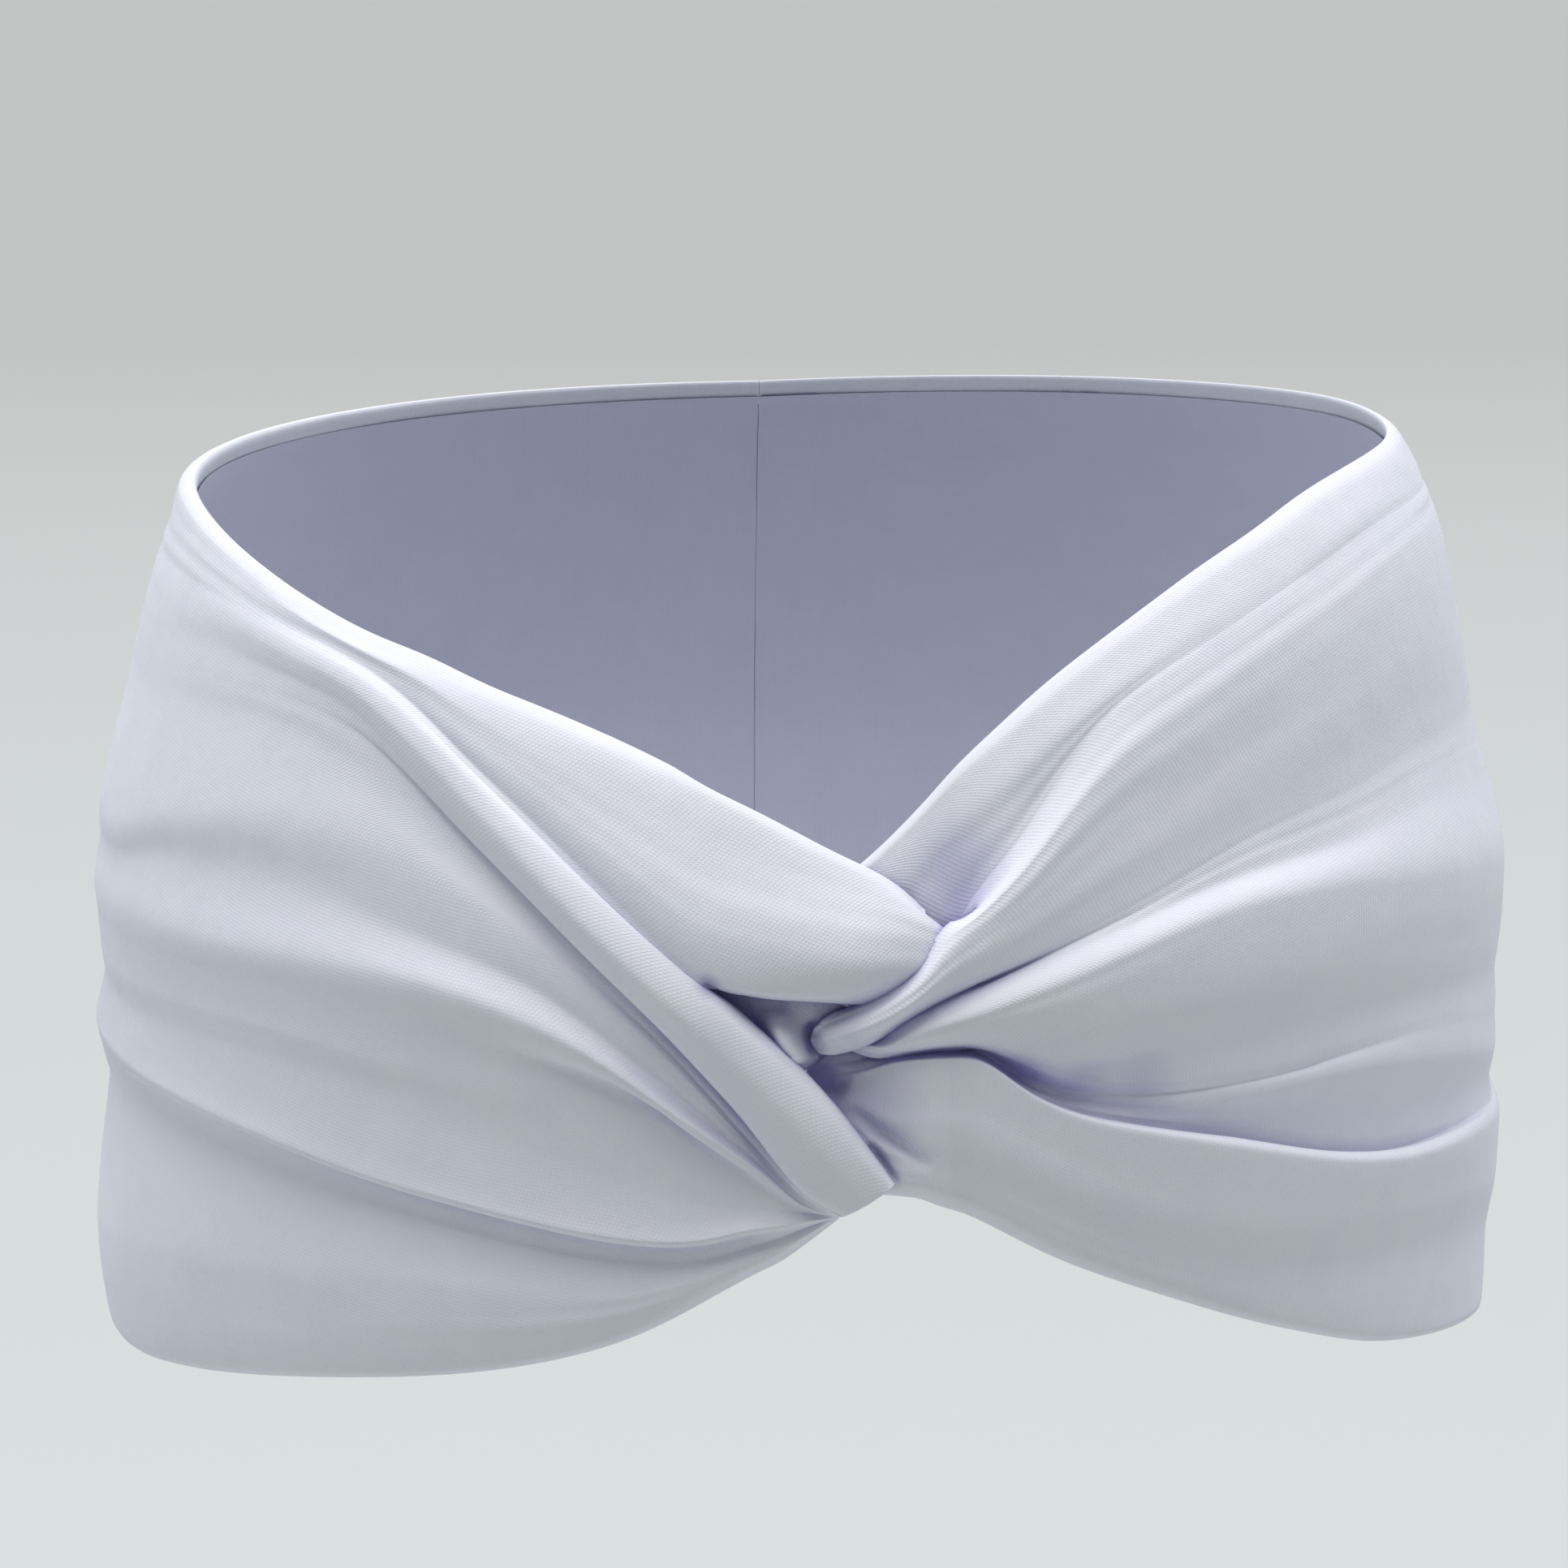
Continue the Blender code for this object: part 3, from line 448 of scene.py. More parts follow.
def sideways(edge, out, distance, level):
    """A border moved sideways in the unrolled cloth, away from the strand, at a new lift."""
    flat = np.radians(edge[:, 0]) * UNROLLED_RADIUS
    dx, dz = np.gradient(flat), np.gradient(edge[:, 1])
    size = np.maximum(np.hypot(dx, dz), TINY_LENGTH) * np.sign(np.sum(dx)) * out
    shift = np.degrees(-dz / size * distance / UNROLLED_RADIUS)
    return knot(edge[:, 0] + shift, edge[:, 1] + dx / size * distance, level, edge[:, 3])


def border_curl(edge, out):
    """The turn of cloth at a free border: its outermost line and its hidden end."""
    lift, under = edge[:, 2], edge[:, 3]
    radius = np.clip((lift - under) / 2, *TURN_RADII)
    crest = sideways(edge, out, radius * TURN_OUT, (lift + under) / 2)
    inner = sideways(edge, out, -TURN_IN, under + LINING_LEVEL)
    hidden = sideways(edge, out, -HEM_CURL, under + LINING_LEVEL)
    return crest, inner, hidden


def border_under(edge, out):
    """Cloth that runs on under its neighbour at a border."""
    lift, under = edge[:, 2], edge[:, 3]
    near = sideways(edge, out, UNDER_NEAR, under + UNDER_NEAR_LEVEL * (lift - under))
    hidden = sideways(edge, out, UNDER_FAR, under + LINING_LEVEL)
    return near, hidden


def tuck_sides(above, below, over, reach, floor):
    """Place of the dip between two rails, and place and lift of the cloth on each side of it."""
    top, foot = above[:, 1], below[:, 1]
    gap = top - foot
    if over == "low":
        lip = foot + TUCK_LIP * reach
        dip = foot - TUCK_DIP * reach
        far = np.minimum(lip + TUCK_FAR_STEP, top - TUCK_FAR_EDGE * gap)
        high = (far, TUCK_HALF * (above[:, 2] + floor))
        return high, dip, (lip, floor + TUCK_LIP_LEVEL * (below[:, 2] - floor))
    if over == "high":
        lip = top - TUCK_LIP * reach
        dip = top + TUCK_DIP * reach
        far = np.maximum(lip - TUCK_FAR_STEP, foot + TUCK_FAR_EDGE * gap)
        low = (far, TUCK_HALF * (below[:, 2] + floor))
        return (lip, floor + TUCK_LIP_LEVEL * (above[:, 2] - floor)), dip, low
    dip = (top + foot) / 2
    high = (dip + TUCK_OPEN_SIDE * gap, floor + TUCK_HALF * (above[:, 2] - floor))
    low = (dip - TUCK_OPEN_SIDE * gap, floor + TUCK_HALF * (below[:, 2] - floor))
    return high, dip, low


def tuck_knots(above, below, over, reach, drop, strength):
    """Knots between two rails: beside the upper one, in the dip, beside the lower one."""
    s = strength
    angle, gap = (above[:, 0] + below[:, 0]) / 2, above[:, 1] - below[:, 1]
    under = (above[:, 3] + below[:, 3]) / 2
    floor = np.maximum(under + TUCK_LEAST_LIFT, np.minimum(above[:, 2], below[:, 2]) - drop)
    if over != "both":
        reach = np.minimum(reach, TUCK_MOST_REACH * gap)
    high, dip, low = tuck_sides(above, below, over, reach, floor)
    near, far = NO_TUCK
    change = below[:, 2] - above[:, 2]
    middle = (above[:, 2] + below[:, 2]) / 2
    high_z = (1 - s) * (above[:, 1] - near * gap) + s * high[0]
    dip_z = (1 - s) * (above[:, 1] - TUCK_HALF * gap) + s * dip
    low_z = (1 - s) * (above[:, 1] - far * gap) + s * low[0]
    return (
        knot(angle, high_z, (1 - s) * (above[:, 2] + change * near) + s * high[1], under),
        knot(angle, dip_z, (1 - s) * middle + s * floor, under),
        knot(angle, low_z, (1 - s) * (above[:, 2] + change * far) + s * low[1], under),
    )


def bulge_knots(above, below, down, change):
    """Knots that keep the cloth full between two rails."""
    full = above + (below - above) * down
    full[:, 2] = above[:, 2] + (below[:, 2] - above[:, 2]) * change
    return full


def slit_borders(above, below, kind):
    """Turns of the two borders of a slit: upper crest and end, lower end and crest."""
    crest_a, _, hidden_a = border_curl(above, -1)
    crest_b, _, hidden_b = border_curl(below, 1)
    if kind == "over":
        crest_b, hidden_b = border_under(below, 1)
    if kind == "under":
        crest_a, hidden_a = border_under(above, -1)
    return (crest_a, hidden_a), (hidden_b, crest_b)


def cross_knots(wrap, names, fine, open_share):
    """The knots across the wrap, rail by rail, in groups that part along the slits."""
    tucks = {row[0]: row[1:] for row in wrap["tucks"]}
    bulges = {row[0]: row[1:] for row in wrap["bulges"]}
    crest, inner, hidden = border_curl(fine[0], 1)
    groups, current = [], [hidden, inner, crest]
    for i, name in enumerate(names[:-1]):
        above, below = fine[i], fine[i + 1]
        current.append(above)
        if name in bulges:
            current.append(bulge_knots(above, below, *bulges[name]))
        if name not in tucks:
            continue
        over, reach, drop, *strengths = tucks[name]
        turn = np.abs((above[:, 0] + below[:, 0]) / 2)
        strength = np.interp(turn, TUCK_ANGLES[::-1], strengths[::-1])
        high, dip, low = tuck_knots(above, below, over, reach, drop, strength)
        if name not in wrap["slits"]:
            current += [high, dip, low]
            continue
        upper, lower = slit_borders(above, below, wrap["slits"][name])
        current += [opened(high, upper[0], open_share), opened(dip, upper[1], open_share)]
        groups.append(current)
        current = [opened(dip, lower[0], open_share), opened(low, lower[1], open_share)]
    crest, inner, hidden = border_curl(fine[-1], -1)
    groups.append(current + [fine[-1], crest, inner, hidden])
    return groups


def round_end(strand, at, slit_row, nose):
    """Draws the sides of a parted strand back along it, so that its end is round."""
    end = strand[:, -1]
    steps = np.hypot(np.radians(np.diff(end[:, 0])) * UNROLLED_RADIUS, np.diff(end[:, 1]))
    place = np.concatenate([[0.0], np.cumsum(steps)])
    first, last = np.interp((1, at[-1] - 1), at, place)
    across = np.clip(2 * (place - first) / (last - first) - 1, -NOSE_LIMIT, NOSE_LIMIT)
    share = 1 - nose * (1 - np.sqrt(1 - across**2))
    rows = np.arange(strand.shape[1], dtype=float)
    for column, keep in zip(strand, share):
        spots = np.where(rows > slit_row, slit_row + (rows - slit_row) * keep, rows)
        for field in range(column.shape[1]):
            column[:, field] = np.interp(spots, rows, column[:, field])
    return strand


def column_places(group, slit_row):
    """Where the columns of one strand lie, counted in its knots."""
    k = np.array(group)[:, slit_row // 2:]
    steps = np.sqrt(np.diff(k[..., 1], axis=0) ** 2 + np.diff(k[..., 2], axis=0) ** 2)
    space = np.percentile(steps, COLUMN_PERCENTILE, axis=1)
    at = [0.0]
    for j, count in enumerate(np.clip(np.round(space / COLUMN_STEP), *COLUMN_COUNTS).astype(int)):
        at += [j + (i + 1) / count for i in range(count)]
    return np.array(at)


def columns_across(groups, slit_row, noses):
    """Cloth columns spun through the knots, joined as one above the slits."""
    whole = list(groups[0])
    offsets = [0]
    for group in groups[1:]:
        offsets.append(len(whole) - 1)
        whole += group[1:]
    whole = np.array(whole)
    blocks, starts, total = [], [], 0
    for group, offset, nose in zip(groups, offsets, noses):
        at = column_places(group, slit_row)
        apart = smooth(np.array(group), np.arange(len(group)), at)
        if nose:
            apart = round_end(apart, at, slit_row, nose)
        together = smooth(whole, np.arange(len(whole)), at + offset)
        rows = np.arange(apart.shape[1])[None, :, None]
        blocks.append(np.where(rows <= slit_row, together, apart))
        starts.append(total)
        total += len(at)
    return np.swapaxes(np.concatenate(blocks), 0, 1), starts


def tip_rows(grid, side):
    """Rows that turn the cloth under at the strand ends."""
    end = grid[-1]
    rows = []
    for t in np.linspace(0, math.pi, TIP_STEPS + 1)[1:]:
        row = end.copy()
        thick = np.maximum(end[:, 2] - end[:, 3] - LINING_LEVEL, TIP_LEAST)
        row[:, 2] = end[:, 3] + LINING_LEVEL + thick * (0.5 + 0.5 * math.cos(t))
        row[:, 0] = end[:, 0] - side * np.degrees(TIP_REACH * thick * math.sin(t) / FRONT_RADIUS)
        rows.append(row)
    return np.concatenate([grid, np.array(rows)])


def seam_rows(grid, side):
    """Rows that turn the cloth in at the centre back seam."""
    rows = []
    for t in np.linspace(math.pi / 2, 0, SEAM_STEPS):
        row = grid[0].copy()
        row[:, 2] = np.maximum(row[:, 2] - SEAM_RADIUS * (1 - math.cos(t)), SEAM_LEAST)
        row[:, 0] -= side * math.degrees(SEAM_RADIUS * (1 - math.sin(t)) / FRONT_RADIUS)
        rows.append(row)
    return np.concatenate([np.array(rows), grid[1:]])


def noise(x, y, seed):
    """Smooth value noise between -1 and 1 on the unit lattice."""
    table = np.random.default_rng(seed).uniform(-1, 1, (NOISE_SIZE, NOISE_SIZE))
    x0, y0 = np.floor(x).astype(int), np.floor(y).astype(int)
    fx, fy = x - x0, y - y0
    fx, fy = fx * fx * (3 - 2 * fx), fy * fy * (3 - 2 * fy)
    x0, y0, x1, y1 = x0 % NOISE_SIZE, y0 % NOISE_SIZE, (x0 + 1) % NOISE_SIZE, (y0 + 1) % NOISE_SIZE
    near = table[x0, y0] * (1 - fx) + table[x1, y0] * fx
    far = table[x0, y1] * (1 - fx) + table[x1, y1] * fx
    return near * (1 - fy) + far * fy


def slack(grid, start, more):
    """How free the cloth is to fold, from 0 where it is thin to 1 where it is thick."""
    return np.clip((grid[..., 2] - grid[..., 3] - start) / more, 0.0, 1.0)


def add_gathers(grid, rail_place, seed):
    """Fine gathers that run with the rails and gather towards the twist."""
    turn = np.abs(grid[..., 0])
    along = np.radians(grid[..., 0]) * UNROLLED_RADIUS
    across = np.broadcast_to(rail_place[None, :], turn.shape)
    rail_steps = np.maximum(np.gradient(rail_place), TINY_LENGTH)
    span = np.gradient(grid[..., 1], axis=1) / rail_steps[None, :]
    room = np.clip(np.abs(span) / GATHER_ROOM, GATHER_LEAST_ROOM, 1.0)
    lift = 0.0
    for i, (height, waves, offset, length, strength) in enumerate(GATHERS):
        wave = noise(across * waves + offset, along / length, seed + i)
        lift = lift + height * np.interp(turn, *strength) * room * wave
    grid[..., 2] += lift * slack(grid, *GATHER_SLACK)


def add_creases(grid, creases):
    """Single small folds, each a straight line on the unrolled head."""
    flat_x = np.radians(grid[..., 0]) * UNROLLED_RADIUS
    flat_z = grid[..., 1]
    for angle_a, z_a, angle_b, z_b, width, height in creases:
        ax, bx = (math.radians(a) * UNROLLED_RADIUS for a in (angle_a, angle_b))
        dx, dz = bx - ax, z_b - z_a
        size = math.hypot(dx, dz)
        share = ((flat_x - ax) * dx + (flat_z - z_a) * dz) / size**2
        off = ((flat_x - ax) * -dz + (flat_z - z_a) * dx) / size
        fade = np.clip(1 - np.abs(2 * share - 1) ** 3, 0, 1) * (share > 0) * (share < 1)
        bell = np.exp(-((off / width) ** 2))
        grid[..., 2] += height * fade * bell * slack(grid, *CREASE_SLACK)


def cloth_lengths(points):
    """Lengths along and across the cloth in metres at each point, for its map."""
    along = np.linalg.norm(np.diff(points, axis=0), axis=-1) * MM
    across = np.linalg.norm(np.diff(points, axis=1), axis=-1) * MM
    u, v = np.zeros(points.shape[:2]), np.zeros(points.shape[:2])
    u[1:] = np.cumsum(along, axis=0)
    v[:, 1:] = np.cumsum(across, axis=1)
    return np.stack([u, v], -1)


def cloth_mesh(name, points, ids, keep, flip):
    """A mesh of quads from a grid of points, with a metric map of its cloth."""
    quads = np.stack([ids[:-1, :-1], ids[:-1, 1:], ids[1:, 1:], ids[1:, :-1]], -1)[keep]
    if flip:
        quads = quads[:, ::-1]
    mesh = bpy.data.meshes.new(name)
    mesh.vertices.add(ids.size)
    mesh.vertices.foreach_set("co", (points * MM).reshape(-1).astype(np.float32))
    mesh.loops.add(quads.size)
    mesh.loops.foreach_set("vertex_index", quads.reshape(-1).astype(np.int32))
    mesh.polygons.add(len(quads))
    mesh.polygons.foreach_set("loop_start", np.arange(0, quads.size, 4, dtype=np.int32))
    mesh.polygons.foreach_set("loop_total", np.full(len(quads), 4, np.int32))
    mesh.update(calc_edges=True)
    mesh.validate()
    layer = mesh.uv_layers.new(name="cloth_map")
    corner = np.zeros(len(mesh.loops), np.int32)
    mesh.loops.foreach_get("vertex_index", corner)
    places = cloth_lengths(points).reshape(-1, 2)[corner]
    layer.data.foreach_set("uv", places.reshape(-1).astype(np.float32))
    mesh.polygons.foreach_set("use_smooth", np.ones(len(mesh.polygons), bool))
    return mesh


# Painted shade among the folds, mm.
SHADE_REACH = 14.0         # how far a neighbour shades
SHADE_START = 0.0003       # metres off the cloth where the look for neighbours starts
SHADE_RINGS = ((0.0, 1), (28.0, 6), (52.0, 9), (72.0, 9))   # tilt in degrees, directions
INSIDE_DEPTH = 0.3         # the lining is at least this deep in shade
FAR_SHADE = ((12.0, 24.0, 60.0), (1.0, 0.6, 0.45))   # distance from the twist, share of the shade
# Hollows of the twist, where the painted shade is deepest.
# Columns: angle, height, most lift of the cloth that it reaches, radius, depth of the painted shade.
SHADE_SPOTS = (
    (-3.8, 3.3, 2.6, 1.2, 0.8),
    (-2.8, -0.6, 3.5, 1.7, 0.6),
    (-8.5, 7.0, 2.8, 3.2, 0.3),
    (-10.8, 9.2, 9.0, 1.1, 0.5),
    (7.0, 19.0, 4.0, 5.0, 0.4),
    (1.5, -3.4, 5.0, 4.5, 0.25),
    (11.5, -0.3, 3.8, 2.8, 0.4),
    (16.0, -1.6, 3.8, 3.4, 0.3),
    (21.0, -2.2, 3.8, 4.0, 0.25),
    (-0.8, 4.0, 9.0, 2.2, 0.12),
)
SHADE_EDGE = 1.0           # lift over which a hollow's shade fades out


def spot_shade(points):
    """Extra painted shade at the named hollows of the twist, for points in mm."""
    x, y, height = points.T
    turn = np.degrees(np.arctan2(x, -y / HEAD_DEPTH_RATIO))
    lift = (np.hypot(x, y / HEAD_DEPTH_RATIO) - half_width(height)) * HEAD_DEPTH_RATIO
    extra = np.zeros(len(points))
    for angle, middle, most_lift, radius, painted_shade in SHADE_SPOTS:
        away = np.hypot(np.radians(turn - angle) * UNROLLED_RADIUS, height - middle)
        near = np.clip((most_lift - lift) / SHADE_EDGE, 0, 1)
        extra += painted_shade * np.exp(-((away / radius) ** 2)) * near
    return extra


def cloth_tree(pieces):
    """All pieces as one tree, to look for the nearest cloth in."""
    corners, faces, start = [], [], 0
    for piece in pieces:
        mesh = piece.data
        co = np.empty(len(mesh.vertices) * 3, np.float32)
        mesh.vertices.foreach_get("co", co)
        corners.append(co.reshape(-1, 3))
        loops = np.empty(len(mesh.loops), np.int32)
        mesh.loops.foreach_get("vertex_index", loops)
        faces.append(loops.reshape(-1, 4) + start)
        start += len(mesh.vertices)
    return BVHTree.FromPolygons(np.concatenate(corners).tolist(), np.concatenate(faces).tolist())


def shade_rays():
    """Directions towards the open side of the cloth."""
    rays = []
    for tilt, count in SHADE_RINGS:
        t = math.radians(tilt)
        for i in range(count):
            turn = math.tau * i / count
            rays.append((math.cos(turn) * math.sin(t), math.sin(turn) * math.sin(t), math.cos(t)))
    return rays


def closed_share(tree, rays, vertex):
    """How much of the open side of the cloth its neighbours close at a vertex."""
    reach = SHADE_REACH * MM
    normal = vertex.normal
    spin = normal.to_track_quat("Z", "Y")
    origin = vertex.co + normal * SHADE_START
    hits = 0.0
    for ray in rays:
        distance = tree.ray_cast(origin, spin @ Vector(ray), reach)[3]
        if distance is not None:
            hits += ray[2] * (1 - distance / reach)
    return hits / sum(ray[2] for ray in rays)


def shade_depth(pieces):
    """Stores how deep each point lies among the folds, from 0 open to 1 closed, as painted shade for the
    cloth's colour.
    """
    tree, rays = cloth_tree(pieces), shade_rays()
    twist = head_point(0.0, 0.0, 0.0)
    for piece in pieces:
        painted_shade = np.array([closed_share(tree, rays, vertex) for vertex in piece.data.vertices])
        points = np.array([vertex.co for vertex in piece.data.vertices]) / MM
        if piece.name.endswith("_inside"):
            painted_shade = np.maximum(painted_shade, INSIDE_DEPTH)
        else:
            away = np.linalg.norm(points - twist, axis=1)
            painted_shade = painted_shade * np.interp(away, *FAR_SHADE) + spot_shade(points)
        attribute = piece.data.attributes.new("painted_shade", "FLOAT", "POINT")
        attribute.data.foreach_set("value", painted_shade)


def finish_piece(mesh, node, material):
    """The piece of a mesh, which takes the place of the named solid."""
    piece = bpy.data.objects.new(mesh.name, mesh)
    bpy.context.scene.collection.objects.link(piece)
    mesh.materials.append(material)
    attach(piece, "root")
    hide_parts(node)
    return piece


def build_outside(wrap, names, fine, slit_row, material):
    """The outer cloth of one wrap."""
    side = wrap["side"]
    open_share = np.clip((np.arange(fine.shape[1]) - slit_row) / OPENING_ROWS, 0, 1)
    groups = cross_knots(wrap, names, fine, open_share)
    grid, starts = columns_across(groups, slit_row, wrap["noses"])
    grid[..., 1:3] = soften(grid[..., 1:3], ACROSS_BLUR, 1)
    add_gathers(grid, np.linspace(0, len(names) - 1, grid.shape[1]), wrap["gather_seed"])
    add_creases(grid, wrap["creases"])
    grid = tip_rows(seam_rows(grid, side), side)
    rows, cols = grid.shape[:2]
    ids = np.arange(rows * cols).reshape(rows, cols)
    keep = np.ones((rows - 1, cols - 1), bool)
    parted = slit_row + SEAM_STEPS
    for start in starts[1:]:
        ids[:parted, start] = ids[:parted, start - 1]
        keep[:, start - 1] = False
    points = head_point(grid[..., 0], grid[..., 1], grid[..., 2])
    mesh = cloth_mesh(wrap["name"] + "_cloth", points, ids, keep, side > 0)
    return finish_piece(mesh, wrap["name"], material)


def build_inside(wrap, names, fine, slit_row, material):
    """The inner ply, which lies on the head."""
    rails = fine.copy()
    rails[0, :, 1] -= INSIDE_INSET
    rails[-1, :, 1] += INSIDE_INSET
    under = rails[..., 3]
    follow = INSIDE_FOLLOW * np.maximum(rails[..., 2] - under - INSIDE_SLACK, 0)
    rails[..., 2] = under + INSIDE_LEVEL + follow
    spots = np.linspace(0, len(names) - 1, INSIDE_STEP * (len(names) - 1) + 1)
    grid = np.swapaxes(smooth(rails, np.arange(len(names)), spots), 0, 1)
    along, height = np.radians(grid[..., 0]) * UNROLLED_RADIUS, grid[..., 1]
    place = height / WRINKLE_ACROSS + along / WRINKLE_SLANT
    broad = noise(place, along / WRINKLE_ALONG, WRINKLE_SEED)
    fine_wrinkle = noise(height / FINE_WRINKLE_ACROSS, along / FINE_WRINKLE_ALONG, WRINKLE_SEED + 1)
    wrinkle = broad + FINE_WRINKLE_SHARE * fine_wrinkle
    grid[..., 2] += WRINKLE_HEIGHT * np.clip(wrinkle, -1, 1)
    rows, cols = grid.shape[:2]
    keep = np.ones((rows - 1, cols - 1), bool)
    for rail in wrap["slits"]:
        first = INSIDE_STEP * names.index(rail)
        keep[slit_row - INSIDE_EARLY_ROWS:, first - 1:first + INSIDE_STEP + 1] = False
    keep[-INSIDE_END_ROWS:] = False
    points = head_point(grid[..., 0], grid[..., 1], grid[..., 2])
    ids = np.arange(rows * cols).reshape(rows, cols)
    mesh = cloth_mesh(wrap["name"] + "_inside", points, ids, keep, wrap["side"] < 0)
    return finish_piece(mesh, wrap["name"], material)


def build_wrap(wrap, material):
    """The outer cloth of one wrap and its inner side."""
    names = [row[0] for row in wrap["heights"]]
    knots = rail_knots(wrap)
    at = rows_along(wrap["angles"], knots.shape[1] - 1)
    places = np.arange(knots.shape[1])
    fine = soften(np.stack([smooth(rail, places, at) for rail in knots]), RAIL_BLUR, 1)
    slit_row = int(np.argmin(np.abs(at - (len(wrap["angles"]) - 1))))
    outer = build_outside(wrap, names, fine, slit_row, material)
    inner = build_inside(wrap, names, fine[:, ::INSIDE_STEP], slit_row // INSIDE_STEP, material)
    return outer, inner


def plug(tree, socket, value):
    """Gives a socket its value, or a link where the value is another node's output."""
    if isinstance(value, bpy.types.NodeSocket):
        tree.links.new(value, socket)
    else:
        socket.default_value = value


def add_node(tree, kind, **sockets):
    """A shader node with its named inputs set or linked."""
    node = tree.nodes.new(kind)
    for name, value in sockets.items():
        plug(tree, node.inputs[name], value)
    return node


def maths(tree, operation, a, b=0.0):
    """The output of a node that works out one operation."""
    node = tree.nodes.new("ShaderNodeMath")
    node.operation = operation
    plug(tree, node.inputs[0], a)
    plug(tree, node.inputs[1], b)
    return node.outputs[0]


def mix(tree, share, first, second):
    """A colour between two, by share."""
    node = add_node(tree, "ShaderNodeMixRGB", Fac=share, Color1=first, Color2=second)
    return node.outputs["Color"]


def share_between(tree, value, low, high):
    """Where a value lies between low and high, from 0 to 1."""
    node = add_node(tree, "ShaderNodeMapRange", Value=value)
    node.inputs["From Min"].default_value = low
    node.inputs["From Max"].default_value = high
    return node.outputs["Result"]


def coordinate(tree, kind, axis):
    """One axis of a texture coordinate."""
    place = add_node(tree, "ShaderNodeTexCoord").outputs[kind]
    return add_node(tree, "ShaderNodeSeparateXYZ", Vector=place).outputs[axis]


# Jersey.
JERSEY_SURFACE = (
    ("Roughness", 0.82),
    ("Sheen Weight", 0.25),
    ("Sheen Roughness", 0.45),
    ("Sheen Tint", (0.93, 0.94, 1.0, 1.0)),
    ("Specular IOR Level", 0.25),
)
JERSEY_DARK = (0.80, 0.81, 0.885, 1.0)
JERSEY_LIGHT = (0.86, 0.865, 0.92, 1.0)
# Painted shade: the lavender that the cloth's colour turns to deep among the folds.
JERSEY_PAINTED_SHADE = (0.36, 0.335, 0.61, 1.0)
PAINTED_SHADE_RANGE = (0.08, 0.75)  # depth among the folds where the painted shade colour starts, and where it is full
KNIT_WALE = 0.00044        # width of one knit column, metres
KNIT_COURSE = 0.00036      # height of one knit row
LOOP_SLANT = 1.1           # how steep the sides of the knit loops are
LOOP_DEPTH = 0.35          # how far the loops stand out of the ribs
LOOP_LEVEL = 0.8
FUZZ_SCALE, FUZZ_HEIGHT = 1400.0, 0.5
MOTTLE_SCALE = 160.0
KNIT_BUMP = {"Strength": 0.3, "Distance": 0.00008}
MOTTLE_BUMP = {"Strength": 0.25, "Distance": 0.0006}


def knit_height(tree):
    """Height of the knit: ribs along the cloth, with slanting loops in them."""
    cloth = add_node(tree, "ShaderNodeUVMap")
    cloth.uv_map = "cloth_map"
    parts = add_node(tree, "ShaderNodeSeparateXYZ", Vector=cloth.outputs["UV"])
    wale = maths(tree, "MULTIPLY", parts.outputs["X"], math.tau / KNIT_WALE)
    row = maths(tree, "MULTIPLY", parts.outputs["Y"], math.tau / KNIT_COURSE)
    rib = maths(tree, "ABSOLUTE", maths(tree, "SINE", maths(tree, "MULTIPLY", wale, 0.5)))
    slant = maths(tree, "MULTIPLY", maths(tree, "COSINE", wale), LOOP_SLANT)
    loops = maths(tree, "SINE", maths(tree, "ADD", row, slant))
    raised = maths(tree, "ADD", maths(tree, "MULTIPLY", loops, LOOP_DEPTH), LOOP_LEVEL)
    return maths(tree, "MULTIPLY", rib, raised)


def jersey_material():
    """Smooth matte jersey: fine knit columns, soft sheen, and lavender shade painted into its colour in the
    folds.
    """
    material = bpy.data.materials.new("white_jersey")
    material.use_nodes = True
    tree = material.node_tree
    shader = tree.nodes["Principled BSDF"]
    for name, value in JERSEY_SURFACE:
        shader.inputs[name].default_value = value
    knit = knit_height(tree)
    place = add_node(tree, "ShaderNodeTexCoord").outputs["Object"]
    fuzz = add_node(tree, "ShaderNodeTexNoise", Vector=place, Scale=FUZZ_SCALE, Detail=3.0)
    mottle = add_node(tree, "ShaderNodeTexNoise", Vector=place, Scale=MOTTLE_SCALE, Detail=4.0)
    # Painted shade: the stored depth among the folds mixes the lavender shade colour into the base colour.
    deep = add_node(tree, "ShaderNodeAttribute")
    deep.attribute_name = "painted_shade"
    shade = share_between(tree, deep.outputs["Fac"], *PAINTED_SHADE_RANGE)
    tint = mix(tree, mottle.outputs["Fac"], JERSEY_DARK, JERSEY_LIGHT)
    tree.links.new(mix(tree, shade, tint, JERSEY_PAINTED_SHADE), shader.inputs["Base Color"])
    height = maths(tree, "ADD", knit, maths(tree, "MULTIPLY", fuzz.outputs["Fac"], FUZZ_HEIGHT))
    fine = add_node(tree, "ShaderNodeBump", Height=height, **KNIT_BUMP)
    wide = add_node(tree, "ShaderNodeBump", Height=mottle.outputs["Fac"], **MOTTLE_BUMP)
    tree.links.new(fine.outputs["Normal"], wide.inputs["Normal"])
    tree.links.new(wide.outputs["Normal"], shader.inputs["Normal"])
    return material


# The photograph's view: degrees, millimetres and pixels of the 1932-pixel frame.
VIEW_AZIMUTH = -3.5
VIEW_ELEVATION = 9.5
VIEW_DISTANCE = 600.0
VIEW_TARGET = (-1.8, 0.0, 12.4)
MM_PER_PIXEL = 0.0925
FRAME_PIXELS = 1932
SENSOR = 36.0
VIEW_CLIP = (0.01, 60.0)   # metres


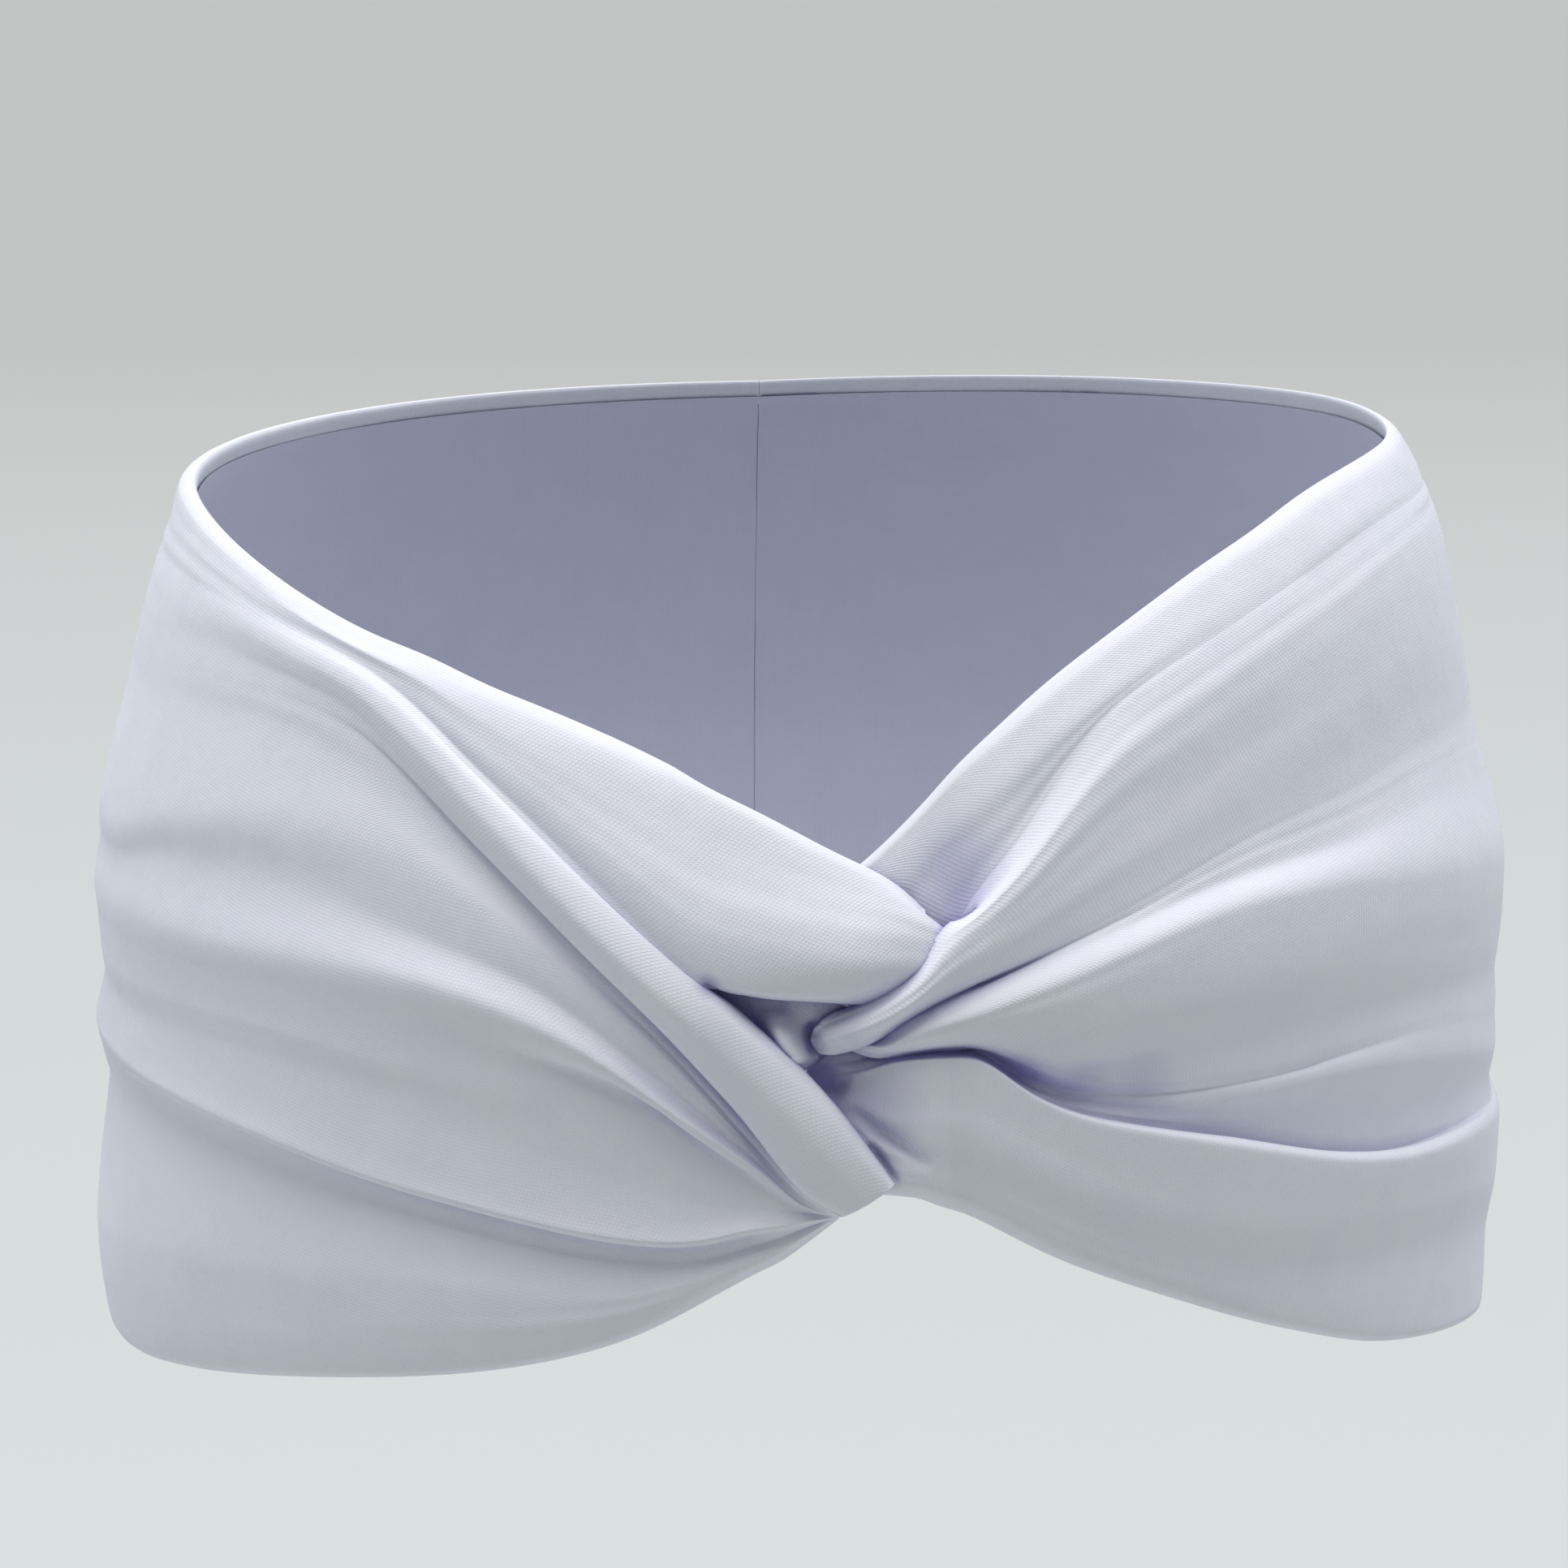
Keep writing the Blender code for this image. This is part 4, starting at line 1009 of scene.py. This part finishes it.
def make_camera():
    a, e = math.radians(VIEW_AZIMUTH), math.radians(VIEW_ELEVATION)
    back = np.array([math.sin(a) * math.cos(e), -math.cos(a) * math.cos(e), math.sin(e)])
    data = bpy.data.cameras.new("camera")
    camera = bpy.data.objects.new("camera", data)
    bpy.context.scene.collection.objects.link(camera)
    camera.location = (np.array(VIEW_TARGET) + back * VIEW_DISTANCE) * MM
    camera.rotation_euler = (math.pi / 2 - e, 0.0, a)
    data.sensor_width = SENSOR
    data.lens = SENSOR * VIEW_DISTANCE / MM_PER_PIXEL / FRAME_PIXELS
    data.clip_start, data.clip_end = VIEW_CLIP
    bpy.context.scene.camera = camera


# Studio light: one wide soft light overhead and towards the front, and a fill
# from the room that is weak at the front and stronger at the sides and the back.
SUN_AZIMUTH = -8.0
SUN_ELEVATION = 86.0
SUN_SPREAD = 50.0          # angle that the soft light fills, degrees
SUN_STRENGTH = 3.14
ROOM_FRONT = (0.03, 0.032, 0.038, 1.0)
ROOM_BACK = (0.56, 0.585, 0.64, 1.0)
ROOM_TURN = (-0.95, 0.35)  # from the front value to the back value along the Y direction


def make_sun():
    """The wide soft light overhead."""
    data = bpy.data.lights.new("softbox", "SUN")
    data.energy = SUN_STRENGTH
    data.angle = math.radians(SUN_SPREAD)
    light = bpy.data.objects.new("softbox", data)
    tilt = math.pi / 2 - math.radians(SUN_ELEVATION)
    light.rotation_euler = (tilt, 0.0, math.radians(SUN_AZIMUTH))
    light.location = (0.0, 0.0, 1.0)
    bpy.context.scene.collection.objects.link(light)


def make_room():
    """The fill from the room."""
    world = bpy.data.worlds.new("studio")
    world.use_nodes = True
    tree = world.node_tree
    turn = share_between(tree, coordinate(tree, "Generated", "Y"), *ROOM_TURN)
    room = mix(tree, turn, ROOM_FRONT, ROOM_BACK)
    tree.links.new(room, tree.nodes["Background"].inputs["Color"])
    bpy.context.scene.world = world
    bpy.context.scene.view_settings.view_transform = "Standard"


FLOOR_DROP = 0.14          # how far the floor lies below the band, metres
FLOOR_SIZE = 60.0
FLOOR_ROUGHNESS = 0.9
# Tones of the floor: distance behind the band in metres, colour. The darker far tone is painted shade; the
# darker front tone lies out of view and bounces less light onto the band.
FLOOR_TONES = (
    (-0.35, (0.40, 0.415, 0.41, 1.0)),
    (0.25, (0.50, 0.52, 0.51, 1.0)),
    (3.0, (0.375, 0.38, 0.36, 1.0)),
)


def floor_material():
    """Pale even floor, a little darker in front of the band and far behind it; the far darkening is painted
    shade.
    """
    material = bpy.data.materials.new("pale_floor")
    material.use_nodes = True
    tree = material.node_tree
    shader = tree.nodes["Principled BSDF"]
    shader.inputs["Roughness"].default_value = FLOOR_ROUGHNESS
    first, middle, last = (place for place, _ in FLOOR_TONES)
    away = maths(tree, "SUBTRACT", coordinate(tree, "Object", "Y"), first)
    ramp = add_node(tree, "ShaderNodeValToRGB", Fac=maths(tree, "DIVIDE", away, last - first))
    stops = ramp.color_ramp.elements
    stops.new((middle - first) / (last - first))
    for stop, (_, colour) in zip(stops, FLOOR_TONES):
        stop.color = colour
    tree.links.new(ramp.outputs["Color"], shader.inputs["Base Color"])
    return material


def make_floor():
    floor_place = (0, 0, CAD_BOX[0][2] - FLOOR_DROP)
    bpy.ops.mesh.primitive_plane_add(size=FLOOR_SIZE, location=floor_place)
    floor = bpy.context.object
    floor.name = "floor"
    floor.data.materials.append(floor_material())


def main():
    jersey = jersey_material()
    pieces = []
    for wrap in WRAPS:
        pieces += build_wrap(wrap, jersey)
    shade_depth(pieces)
    make_camera()
    make_sun()
    make_room()
    make_floor()


main()
